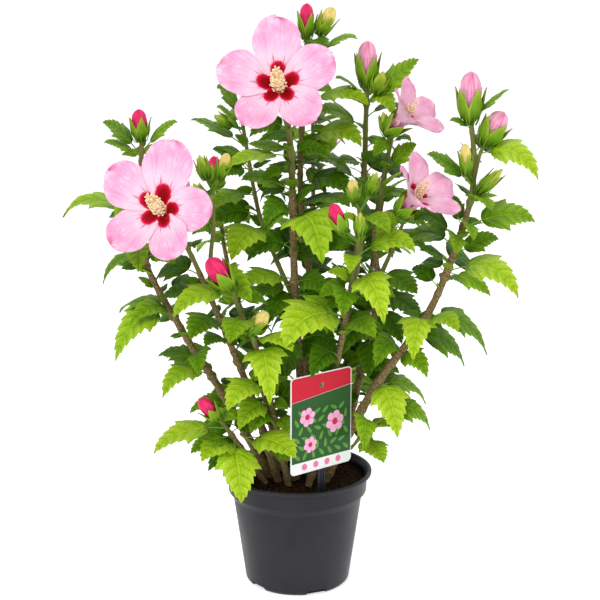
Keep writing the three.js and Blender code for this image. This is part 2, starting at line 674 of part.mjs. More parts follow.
// a tapering tube along a limb between two distances, bent from a cylinder
function tubeAlong(limb, from, to, sides, step, swell) {
  const steps = Math.max(1, Math.round((to - from) / step));
  const tube = new THREE.CylinderGeometry(1, 1, 1, sides, steps, false);
  const position = tube.getAttribute('position');
  const whole = unit(sub(along(limb, to).place, along(limb, from).place));
  const guide = Math.abs(whole[0]) < 0.8 ? [1, 0, 0] : [0, 1, 0];
  for (let i = 0; i < position.count; i += 1) {
    const spot = along(limb, from + (to - from) * (position.getY(i) + 0.5));
    const first = unit(sub(guide, mul(spot.way, dot(guide, spot.way))));
    const second = cross(spot.way, first);
    const r = spot.radius + swell;
    const p = add(spot.place, add(mul(first, r * position.getX(i)), mul(second, r * position.getZ(i))));
    position.setXYZ(i, p[0], p[1], p[2]);
  }
  return toSolid(tube);
}

// a turned body about an axis: rows of [distance, radius]
function spindle(base, way, rows, sides) {
  const profile = rows.map(([at, r]) => new THREE.Vector2(r, at));
  const lathe = new THREE.LatheGeometry(profile, sides);
  const turn = new THREE.Quaternion().setFromUnitVectors(new THREE.Vector3(0, 1, 0),
    new THREE.Vector3(...unit(way)));
  lathe.applyQuaternion(turn);
  lathe.translate(base[0], base[1], base[2]);
  return toSolid(lathe);
}

function leafSolid(leaf) {
  const r = PETIOLE_RADIUS;
  const start = unit(sub(leaf.bend, leaf.root));
  const lift = cross(start, leaf.side);
  const corners = [];
  corners.push(add(leaf.root, add(mul(leaf.side, r), mul(lift, r * 0.5))));
  corners.push(add(leaf.root, add(mul(leaf.side, -r), mul(lift, r * 0.5))));
  corners.push(add(leaf.root, mul(lift, -r)));
  const share = r / leaf.blade;
  corners.push(onLeaf(leaf, share, 0, r * 0.4));
  corners.push(onLeaf(leaf, -share, 0, r * 0.4));
  corners.push(onLeaf(leaf, 0, 0, -r));
  corners.push(onLeaf(leaf, 0, 0.45, LEAF_HALF_THICK));
  corners.push(onLeaf(leaf, 0, 0.45, -LEAF_HALF_THICK));
  const rim = [];
  const blade = leaf.lead ? BLADE : PLAIN_BLADE;
  for (const sign of [-1, 1]) {
    const half = sign < 0 ? blade : blade.slice(0, -1).reverse();
    for (const [across, alongBlade] of half) {
      const width = across > 0.3 ? across * leaf.lobes : across;
      rim.push(corners.length);
      corners.push(onLeaf(leaf, sign * width, alongBlade, 0));
    }
  }
  const faces = [[0, 2, 1], [0, 1, 4], [0, 4, 3], [1, 2, 5], [1, 5, 4], [2, 0, 3], [2, 3, 5]];
  const top = [4, ...rim, 3];
  for (let i = 0; i + 1 < top.length; i += 1) {
    faces.push([6, top[i], top[i + 1]]);
  }
  faces.push([6, 3, 4], [4, 5, rim[0]], [3, rim[rim.length - 1], 5]);
  const under = [5, ...rim];
  for (let i = 0; i + 1 < under.length; i += 1) {
    faces.push([7, under[i + 1], under[i]]);
  }
  faces.push([7, 5, rim[rim.length - 1]]);
  const geometry = new THREE.BufferGeometry();
  geometry.setAttribute('position', new THREE.BufferAttribute(new Float32Array(corners.flat()), 3));
  geometry.setIndex(faces.flat());
  return toSolid(geometry);
}

// five petals in one closed cup with a column and a calyx
function bloomSolid(bloom, limb) {
  const [, base, facing, radius, cup, turn, reaches] = bloom;
  const at = bloomFrame(facing, turn);
  const out = unit(facing);
  const corners = [add(base, mul(out, 1.5)), sub(base, mul(out, 1.5))];
  const faces = [];
  const midTop = [];
  const midUnder = [];
  const edge = [];
  const halves = PETAL_COUNT * 2;
  for (let i = 0; i < halves; i += 1) {
    const angle = (180 * i) / PETAL_COUNT;
    const depth = cupDepth(0.5, cup);
    midTop.push(corners.length);
    corners.push(add(base, at(radius * 0.5, angle, depth + 0.9)));
    midUnder.push(corners.length);
    corners.push(add(base, at(radius * 0.5, angle, depth - 0.9)));
    // an even ray runs to the middle of a petal's rim, an odd one into the notch beside it
    const isNotch = i % 2 === 1;
    const petal = Math.floor(i / 2);
    const next = (petal + 1) % PETAL_COUNT;
    const share = isNotch ? PETAL_NOTCH * 0.5 * (reaches[petal] + reaches[next]) : reaches[petal];
    const shoulder = 0.94 * reaches[isNotch ? next : petal];
    edge.push(corners.length);
    corners.push(add(base, at(radius * share, angle, cupDepth(Math.min(1, share), cup))));
    edge.push(corners.length);
    corners.push(add(base, at(radius * shoulder, angle + 90 / PETAL_COUNT,
      cupDepth(Math.min(1, shoulder), cup))));
  }
  for (let i = 0; i < halves; i += 1) {
    const j = (i + 1) % halves;
    const [e0, e1, e2] = [edge[2 * i], edge[2 * i + 1], edge[(2 * i + 2) % edge.length]];
    faces.push([0, midTop[i], midTop[j]], [midTop[i], e0, e1]);
    faces.push([midTop[i], e1, midTop[j]], [midTop[j], e1, e2]);
    faces.push([1, midUnder[j], midUnder[i]], [midUnder[i], e1, e0]);
    faces.push([midUnder[i], midUnder[j], e1], [midUnder[j], e2, e1]);
  }
  const geometry = new THREE.BufferGeometry();
  geometry.setAttribute('position', new THREE.BufferAttribute(new Float32Array(corners.flat()), 3));
  geometry.setIndex(faces.flat());
  const petals = toSolid(geometry);
  const column = spindle(base, out, [[0, 0], [14, 3], [28, 7], [40, 0]], 6);
  const calyxBack = sub(base, mul(out, HEART));
  const calyx = spindle(calyxBack, out, [[-2, 0], [6, 8], [19, 9.5], [20, 0]], 6);
  const stalk = makeLimb('stalk', [along(limb, limb.length - 1).place, calyxBack,
    add(calyxBack, mul(out, 3))], 2, 2);
  return [petals, column, calyx, tubeAlong(stalk, 0, stalk.length, 4, 12, 0)];
}

function budSolid(bud, limb) {
  const [, height, base, way, length, radius] = bud;
  const root = along(limb, reach(limb, height)).place;
  const out = unit(way);
  const rows = [[-3, 0], [length * 0.24, radius], [length * 0.62, radius * 0.88], [length, 0]];
  const parts = [spindle(base, out, rows, 5)];
  if (distance(root, base) > 3) {
    const stalk = makeLimb('stalk', [root, mix(root, base, 0.5), add(base, mul(out, 2))], 1.5, 1.5);
    parts.push(tubeAlong(stalk, 0, stalk.length, 4, 20, 0));
  }
  return parts;
}

// ---------------------------------------------------------------- assemble the plant
const nodes = [];
const pieces = [];   // solids already placed, with the node each belongs to

function boxesMeet(a, b) {
  const p = a.boundingBox();
  const q = b.boundingBox();
  for (let k = 0; k < 3; k += 1) {
    if (p.min[k] > q.max[k] || q.min[k] > p.max[k]) {
      return false;
    }
  }
  return true;
}

function touchesOther(solid, node) {
  return pieces.some((piece) => piece.node !== node && boxesMeet(piece.solid, solid)
    && wasm.Manifold.intersection(piece.solid, solid).volume() > 0);
}

// everything under the soil's surface, which the stems' feet are trimmed by
const block = new THREE.BoxGeometry(200, 200, 60);
block.translate(0, 0, SOIL_TOP + GAP - 30);
const ground = toSolid(block);

const massParts = {};
for (const [name, limb] of Object.entries(limbs)) {
  const mass = crownOf[name];
  massParts[mass] = massParts[mass] || [];
  if (name in STEMS) {
    const cut = reach(limb, STEMS[name].bare);
    const low = tubeAlong(limb, -6, cut - 0.2, LIMB_SIDES, STEM_STEP, 0).subtract(ground);
    nodes.push({ name: `stem_${name}`, solid: low, kind: 'stem' });
    pieces.push({ node: `stem_${name}`, solid: low });
    massParts[mass].push(tubeAlong(limb, cut + 0.2, limb.length, STEM_SIDES, STEM_STEP, 0));
  } else if (name in FORKS) {
    massParts[mass].push(tubeAlong(limb, 0, limb.length, STEM_SIDES, STEM_STEP, 0));
  } else {
    const parent = limbs[SHOOTS[name].from];
    const cut = reach(parent, STEMS[SHOOTS[name].from].bare);
    const near = tubeAlong(parent, -6, cut - 0.2, LIMB_SIDES, STEM_STEP, GAP + 0.1);
    massParts[mass].push(largestBody(tubeAlong(limb, 0, limb.length, 5, 24, 0).subtract(near)));
  }
}
for (const bloom of BLOOMS) {
  massParts[crownOf[bloom[0]]].push(...bloomSolid(bloom, limbs[bloom[0]]));
}
for (const bud of BUDS) {
  massParts[crownOf[bud[0]]].push(...budSolid(bud, limbs[bud[0]]));
}
const cardBlock = new THREE.BoxGeometry(CARD_WIDTH + 1, 3, CARD_HEIGHT + 1);
cardBlock.rotateZ(cardTurn);
cardBlock.translate(...CARD_CENTRE);
pieces.push({ node: 'label_card', solid: toSolid(cardBlock) });
for (const [mass, parts] of Object.entries(massParts)) {
  for (const solid of parts) {
    pieces.push({ node: `crown_${mass}`, solid });
  }
}
for (const leaf of leaves) {
  const mass = crownOf[leaf.owner];
  const solid = leafSolid(leaf);
  if (touchesOther(solid, `crown_${mass}`)) {
    continue;
  }
  massParts[mass].push(solid);
  pieces.push({ node: `crown_${mass}`, solid });
}
for (const [mass, parts] of Object.entries(massParts)) {
  const name = mass in SHOOTS ? mass : `crown_${mass}`;
  nodes.push({ name, solid: largestBody(wasm.Manifold.union(parts)), kind: 'leaf' });
}

// ---------------------------------------------------------------- pot, soil and label
function lathe(profile) {
  const geometry = new THREE.LatheGeometry(profile.map(([r, z]) => new THREE.Vector2(r, z)), POT_SIDES);
  geometry.rotateX(Math.PI / 2);
  return toSolid(geometry);
}

function makePot() {
  let pot = lathe([
    [0, 0], [BASE_RADIUS - 3, 0], [BASE_RADIUS, 3], [BODY_TOP_RADIUS - 2, 93],
    [BODY_TOP_RADIUS, BAND_BOTTOM], [BAND_RADIUS - 0.6, BAND_BOTTOM],
    [BAND_RADIUS, POT_HEIGHT - LIP_HEIGHT], [LIP_RADIUS, POT_HEIGHT - LIP_HEIGHT],
    [LIP_RADIUS, POT_HEIGHT - 1], [LIP_RADIUS - 1, POT_HEIGHT], [LIP_RADIUS - 4, POT_HEIGHT],
    [BAND_RADIUS - POT_WALL, POT_HEIGHT - 6], [BAND_RADIUS - POT_WALL - 0.6, BAND_BOTTOM + 2],
    [BODY_TOP_RADIUS - POT_WALL - 2, 93], [BASE_RADIUS - POT_WALL, POT_FLOOR], [0, POT_FLOOR],
  ]);
  for (let i = 0; i < NOTCH_COUNT; i += 1) {
    const notch = new THREE.BoxGeometry(14, NOTCH_WIDTH, NOTCH_HEIGHT + 2);
    notch.translate(BASE_RADIUS, 0, NOTCH_HEIGHT / 2 - 1);
    notch.rotateZ(rad(-90 + NOTCH_FIRST + (360 * i) / NOTCH_COUNT));
    pot = pot.subtract(toSolid(notch));
  }
  return pot;
}

function makeSoil() {
  const inset = POT_WALL + GAP + 0.1;
  return lathe([
    [0, POT_FLOOR + GAP], [BASE_RADIUS - inset - 0.2, POT_FLOOR + GAP],
    [BODY_TOP_RADIUS - inset - 2.2, 93 + GAP],
    [BAND_RADIUS - inset - 0.9, BAND_BOTTOM + 2 + 2 * GAP], [BAND_RADIUS - inset - 0.4, SOIL_TOP],
    [0, SOIL_TOP],
  ]);
}

function roundedCard() {
  const w = CARD_WIDTH / 2;
  const h = CARD_HEIGHT / 2;
  const c = CARD_CORNER;
  const shape = new THREE.Shape();
  shape.moveTo(-w + c, -h);
  shape.lineTo(w - c, -h);
  shape.absarc(w - c, -h + c, c, -Math.PI / 2, 0, false);
  shape.lineTo(w, h - c);
  shape.absarc(w - c, h - c, c, 0, Math.PI / 2, false);
  shape.lineTo(-w + c, h);
  shape.absarc(-w + c, h - c, c, Math.PI / 2, Math.PI, false);
  shape.lineTo(-w, -h + c);
  shape.absarc(-w + c, -h + c, c, Math.PI, 1.5 * Math.PI, false);
  const hole = new THREE.Path();
  hole.absarc(0, h - 14, CARD_HOLE, 0, 2 * Math.PI, true);
  shape.holes.push(hole);
  const card = new THREE.ExtrudeGeometry(shape, { depth: CARD_THICK, bevelEnabled: false, curveSegments: 4 });
  card.translate(0, 0, -CARD_THICK / 2);
  card.rotateX(Math.PI / 2);
  return toSolid(card);
}

function makeStake() {
  const top = CARD_CENTRE[2] - CARD_HEIGHT / 2 - GAP;
  const bottom = SOIL_TOP + GAP;
  const stake = new THREE.BoxGeometry(STAKE_WIDTH, STAKE_THICK, top - bottom);
  stake.translate(0, 0, (top + bottom) / 2 - CARD_CENTRE[2]);
  return toSolid(stake);
}

const paint = {
  pot: new THREE.MeshStandardMaterial({ color: 0x3b3b40, roughness: 0.45, metalness: 0 }),
  soil: new THREE.MeshStandardMaterial({ color: 0x2a1710, roughness: 1, metalness: 0 }),
  stem: new THREE.MeshStandardMaterial({ color: 0x7a6545, roughness: 0.9, metalness: 0 }),
  leaf: new THREE.MeshStandardMaterial({ color: 0x5b9420, roughness: 0.6, metalness: 0 }),
  card: new THREE.MeshStandardMaterial({ color: 0xd8223e, roughness: 0.35, metalness: 0 }),
  stake: new THREE.MeshStandardMaterial({ color: 0x3a3c42, roughness: 0.5, metalness: 0 }),
};

function named(name, solid, kind) {
  const mesh = new THREE.Mesh(toGeometry(solid), paint[kind]);
  mesh.name = name;
  return mesh;
}

const shrub = new THREE.Group();
shrub.add(named('pot', makePot(), 'pot'));
shrub.add(named('soil', makeSoil(), 'soil'));

const label = new THREE.Group();
label.position.set(...CARD_CENTRE);
label.rotation.z = cardTurn;
label.add(named('label_card', roundedCard(), 'card'));
label.add(named('label_stake', makeStake(), 'stake'));
shrub.add(label);

const plant = new THREE.Group();
for (const node of nodes) {
  plant.add(named(node.name, node.solid, node.kind));
}
shrub.add(plant);

export default shrub;
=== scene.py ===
"""Looks of the hibiscus shrub in its nursery pot.

The plant grows here by the same rule as the frame's solids, from the same places and the same
seed, and every leaf, bloom, bud and stem is then made in full detail. Growth is worked out in
millimetres; meshes are made in metres.
"""
import json
import math

import bmesh
import bpy
import numpy as np
from mathutils import Vector
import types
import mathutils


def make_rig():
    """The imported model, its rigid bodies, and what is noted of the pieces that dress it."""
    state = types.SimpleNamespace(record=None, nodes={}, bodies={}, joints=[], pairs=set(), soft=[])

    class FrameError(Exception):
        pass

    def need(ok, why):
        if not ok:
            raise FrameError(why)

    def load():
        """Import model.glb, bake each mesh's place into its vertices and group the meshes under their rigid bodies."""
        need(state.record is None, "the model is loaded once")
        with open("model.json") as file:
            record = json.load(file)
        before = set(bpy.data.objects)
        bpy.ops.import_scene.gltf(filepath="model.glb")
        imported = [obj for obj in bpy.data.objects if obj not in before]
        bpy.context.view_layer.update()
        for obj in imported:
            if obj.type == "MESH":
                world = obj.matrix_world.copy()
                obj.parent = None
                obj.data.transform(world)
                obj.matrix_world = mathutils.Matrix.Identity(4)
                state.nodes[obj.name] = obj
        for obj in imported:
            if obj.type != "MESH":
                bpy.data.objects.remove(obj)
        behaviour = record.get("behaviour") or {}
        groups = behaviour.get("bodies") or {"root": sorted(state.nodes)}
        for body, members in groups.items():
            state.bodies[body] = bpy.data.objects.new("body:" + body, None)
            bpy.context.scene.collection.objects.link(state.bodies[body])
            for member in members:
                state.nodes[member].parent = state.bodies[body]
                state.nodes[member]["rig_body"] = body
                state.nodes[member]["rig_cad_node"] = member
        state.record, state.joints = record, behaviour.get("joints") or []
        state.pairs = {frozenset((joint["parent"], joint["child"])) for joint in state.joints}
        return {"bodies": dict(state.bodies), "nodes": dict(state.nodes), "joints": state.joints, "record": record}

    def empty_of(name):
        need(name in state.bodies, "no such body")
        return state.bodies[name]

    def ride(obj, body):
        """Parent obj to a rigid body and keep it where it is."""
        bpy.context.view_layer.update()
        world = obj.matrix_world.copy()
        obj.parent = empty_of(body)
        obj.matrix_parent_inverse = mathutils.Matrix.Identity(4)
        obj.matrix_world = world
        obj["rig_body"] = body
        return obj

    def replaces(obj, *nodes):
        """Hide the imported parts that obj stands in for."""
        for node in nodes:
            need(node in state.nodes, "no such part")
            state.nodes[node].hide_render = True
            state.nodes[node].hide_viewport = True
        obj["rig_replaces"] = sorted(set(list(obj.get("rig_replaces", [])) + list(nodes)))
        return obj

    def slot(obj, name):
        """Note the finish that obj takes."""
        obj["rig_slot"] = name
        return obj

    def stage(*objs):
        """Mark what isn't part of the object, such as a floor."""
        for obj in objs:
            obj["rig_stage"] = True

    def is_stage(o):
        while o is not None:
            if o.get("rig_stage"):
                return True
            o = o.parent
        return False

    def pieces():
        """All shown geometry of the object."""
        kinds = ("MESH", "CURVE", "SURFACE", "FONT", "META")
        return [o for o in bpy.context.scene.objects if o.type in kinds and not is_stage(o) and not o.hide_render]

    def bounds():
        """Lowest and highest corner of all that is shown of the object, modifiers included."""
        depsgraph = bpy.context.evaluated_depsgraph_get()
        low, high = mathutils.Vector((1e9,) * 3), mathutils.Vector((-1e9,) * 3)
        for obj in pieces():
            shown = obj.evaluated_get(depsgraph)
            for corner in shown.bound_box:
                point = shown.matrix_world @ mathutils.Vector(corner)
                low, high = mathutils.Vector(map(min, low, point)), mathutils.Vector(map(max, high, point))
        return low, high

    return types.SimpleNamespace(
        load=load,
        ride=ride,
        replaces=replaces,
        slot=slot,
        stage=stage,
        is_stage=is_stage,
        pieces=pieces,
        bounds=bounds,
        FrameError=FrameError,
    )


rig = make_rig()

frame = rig.load()
cad_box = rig.bounds()

MM = 0.001
UV_NAME = "OFBake"

# ---- sizes shared with the frame
SEED = 20240
LIP_RADIUS = 85
LIP_HEIGHT = 4
POT_HEIGHT = 132
BAND_RADIUS = 79.8
BAND_BOTTOM = 108
BODY_TOP_RADIUS = 74.6
STEP_HEIGHT = 93     # where the body widens towards its band
BASE_RADIUS = 59.8
POT_WALL = 2
POT_FLOOR = 3.5
SOIL_TOP = 120
NOTCH_COUNT = 5
NOTCH_WIDTH = 24
NOTCH_HEIGHT = 6
NOTCH_FIRST = 22
GAP = 0.3
CARD_WIDTH = 86
CARD_HEIGHT = 110
CARD_THICK = 1.2
CARD_CORNER = 5
CARD_HOLE = 2.8
CARD_EDGE = 1.2      # the white margin round the print
CARD_STRIP = 13      # the white strip below the picture
CARD_BAND = (28, 20)     # how deep the red band is at its left and its right end
CARD_MAP = 0.13      # metres of the card that one turn of its map covers
CARD_TURN = 39
CARD_CENTRE = np.array([26.0, -62.0, 208.5])
STAKE_WIDTH = 10
STAKE_THICK = 2.4

PETIOLE_SHARE = 0.2
PETIOLE_RADIUS = 0.9
LEAF_FOLD = 0.16
LEAF_DROOP = 0.4   # how far the halves of a blade bend down again towards their margins
LEAF_LENGTH = 88
LEAF_SPACING = 26
LEAF_TURN = 137.5
LEAD_CREST = 0.7    # how far out a lead leaf's arc is bent, as a share of its reach
ARC_RISE = 0.5      # the parts of a leaf's size before and after the crown of its arc
ARC_FALL = 0.54
LEAN_OUT = 50
FRONT_SHIFT = 35
LEAF_MARGIN = 4
PETAL_COUNT = 5
HEART = 15          # from the middle of a bloom's base to its throat, and to its calyx's foot

# places on the blade that other growth keeps clear of
BLADE_PROBES = np.array([
    [0, 0], [0, 0.2], [0, 0.4], [0, 0.6], [0, 0.8], [0, 1], [0.22, 0.2], [0.42, 0.36],
    [0.22, 0.42], [0.2, 0.64], [0.1, 0.82], [-0.22, 0.2], [-0.42, 0.36], [-0.22, 0.42],
    [-0.2, 0.64], [-0.1, 0.82]])

# stems: places passed from the soil up, radii at the foot and tip, height of the first leaves
STEMS = {
    "left_outer": ([[-30, 0, 120], [-84, -25, 229], [-128, -40, 308], [-166, -48, 395],
                    [-165, -45, 512]], 5.2, 2.3, 222),
    "left_front": ([[-22, -12, 120], [-50, -35, 225], [-80, -55, 311], [-108, -72, 385],
                    [-134, -72, 438]], 4.8, 2.2, 226),
    "front_left": ([[-10, -27, 120], [-22, -46, 190], [-42, -80, 290], [-59, -99, 336],
                    [-68, -112, 367]], 4.0, 2.0, 196),
    "low_left": ([[-36, -20, 120], [-59, -40, 165], [-84, -78, 215]], 3.4, 2.0, 146),
    "centre": ([[-3, -8, 120], [5, -15, 200], [-2, -22, 320], [-5, -25, 420],
               [-6, -27, 475], [-9, -30, 520], [-17, -34, 548]], 5.2, 3.1, 250),
    "tall": ([[3, 14, 120], [12, 16, 240], [13, 20, 354], [3, 20, 458], [10, 10, 617]],
             4.8, 2.4, 256),
    "front": ([[12, -28, 120], [30, -30, 190], [43, -36, 262], [54, -64, 338],
               [63, -104, 420]], 4.2, 2.0, 214),
    "right_centre": ([[18, 8, 120], [40, 15, 230], [62, 25, 340], [73, 26, 450],
                      [76, 20, 566]], 4.8, 2.5, 250),
    "right": ([[33, 8, 120], [52, 0, 165], [76, 8, 260], [90, 8, 340], [86, 4, 410],
               [102, -12, 515]], 4.8, 2.3, 226),
    "right_outer": ([[31, -12, 120], [52, -22, 170], [91, -33, 246], [145, -47, 332],
                     [181, -50, 437], [187, -46, 490], [183, -42, 534]], 5.6, 2.5, 206),
    "back_left": ([[-20, 25, 120], [-45, 60, 230], [-82, 95, 350], [-96, 120, 440]],
                  4.4, 2.0, 222),
    "back_centre": ([[4, 36, 120], [10, 72, 240], [18, 108, 380], [18, 128, 520]],
                    4.4, 2.0, 230),
    "back_right": ([[24, 29, 120], [52, 60, 220], [84, 92, 330], [102, 110, 436]],
                   4.4, 2.0, 222),
}

# branches inside a crown: the stem they leave, the height they leave it at, and their way
FORKS = {
    "left_fork": ("left_front", 345, [[-93, -62, 385], [-89, -62, 425], [-90, -56, 466]]),
    "centre_fork": ("centre", 332, [[-30, -15, 395], [-45, -3, 440], [-60, 3, 528]]),
    "right_fork": ("right", 350, [[104, -20, 392], [113, -44, 424]]),
    "front_fork": ("front", 330, [[66, -78, 400], [64, -72, 448]]),
    "outer_fork": ("right_outer", 470, [[192, -46, 495], [197, -46, 508]]),
    "top_fork": ("tall", 560, [[19, 10, 596], [24, 8, 620]]),
}

# low side shoots: the stem they leave, the height they leave it at, and their tip
SHOOTS = {
    "shoot_front_left": ("front_left", 158, [-62, -60, 192]),
    "shoot_front": ("right_outer", 148, [72, -30, 180]),
    "shoot_left": ("left_outer", 172, [-82, 20, 205]),
    "shoot_right": ("right_outer", 184, [100, -52, 212]),
    "shoot_right_back": ("right", 176, [92, 42, 214]),
    "shoot_back_left": ("back_left", 168, [-70, 88, 202]),
    "shoot_back": ("back_centre", 166, [2, 96, 200]),
    "shoot_back_right": ("back_right", 166, [66, 92, 204]),
}

# open blooms: stem, middle of the base, the way it faces, radius, cup depth, turn of the
# first petal, and each petal's share of the radius
BLOOMS = [
    ("left_front", [-140, -100, 448], [-0.22, -0.92, 0.3], 63, 22, 77, [1.11, 1.02, 0.95, 0.92, 0.95]),
    ("centre", [-19, -60, 569], [-0.06, -0.93, 0.36], 61, 30, 94, [1.08, 1.03, 0.95, 0.96, 1.02]),
    ("right", [104, -25, 527], [0.67, -0.4, 0.63], 34, 36, 68, [1.05, 1, 1, 1.08, 1]),
    ("right_fork", [114, -72, 447], [0.62, -0.44, 0.65], 40, 38, 71, [1.06, 1, 1, 1, 1.04]),
    ("back_centre", [-21, 146, 548], [-0.1, 0.95, 0.3], 50, 24, 90, [1, 1.04, 0.97, 1, 0.98]),
    ("back_left", [-160, 132, 410], [-0.35, 0.9, 0.25], 46, 24, 70, [1, 0.98, 1.03, 1, 1]),
]

# buds: stem, height they leave it at, calyx base, the way they point, length, radius, kind
BUDS = [
    ("left_outer", 508, [-166, -45, 516], [-0.03, 0, 1], 30, 8.5, "red"),
    ("left_fork", 462, [-96, -56, 474], [-0.3, 0, 1], 26, 6.5, "green"),
    ("left_fork", 458, [-82, -52, 476], [0.35, 0, 1], 26, 6.5, "cream"),
    ("front_left", 363, [-70, -115, 371], [-0.55, -0.25, 0.8], 38, 11, "red"),
    ("low_left", 213, [-88, -84, 220], [-0.5, -0.35, 0.75], 30, 8, "red"),
    ("front_left", 300, [-48, -100, 319], [0.6, -0.2, 0.8], 28, 8, "cream"),
    ("centre_fork", 520, [-72, 0, 524], [-0.8, 0, 0.5], 22, 6, "green"),
    ("tall", 614, [10, 10, 621], [0, 0, 1], 33, 8, "red"),
    ("top_fork", 617, [25, 8, 624], [0.46, 0, 0.88], 29, 8, "cream"),
    ("right_centre", 560, [76, 20, 570], [0, -0.05, 1], 44, 11, "pink"),
    ("right_centre", 545, [86, 10, 558], [0.3, -0.1, 1], 25, 9, "green"),
    ("right", 505, [97, -14, 515], [-0.2, 0, 1], 26, 6, "green"),
    ("right_outer", 530, [182, -42, 537], [0, 0, 1], 48, 12, "pink"),
    ("outer_fork", 505, [199, -46, 512], [0.5, 0, 0.87], 36, 12, "pink"),
    ("right_outer", 470, [178, -60, 482], [-0.1, -0.1, 1], 30, 6, "cream"),
    ("right_outer", 440, [191, -56, 459], [0.7, -0.1, 0.72], 36, 6.5, "green"),
    ("front", 416, [46, -116, 430], [-0.35, -0.2, 0.9], 30, 7.5, "red"),
    ("front", 417, [64, -112, 424], [0, -0.1, 1], 24, 6, "green"),
    ("front_fork", 444, [60, -74, 454], [-0.15, 0, 1], 22, 6, "cream"),
    ("front_fork", 440, [76, -72, 460], [0.3, 0, 1], 24, 6, "green"),
    ("back_left", 436, [-96, 122, 444], [-0.1, 0.2, 1], 32, 8.5, "red"),
    ("back_left", 410, [-110, 128, 422], [-0.6, 0.3, 0.8], 26, 6.5, "green"),
    ("back_centre", 470, [34, 140, 482], [0.5, 0.4, 0.8], 28, 7, "pink"),
    ("back_right", 410, [96, 122, 424], [-0.4, 0.5, 0.8], 28, 7, "red"),
]

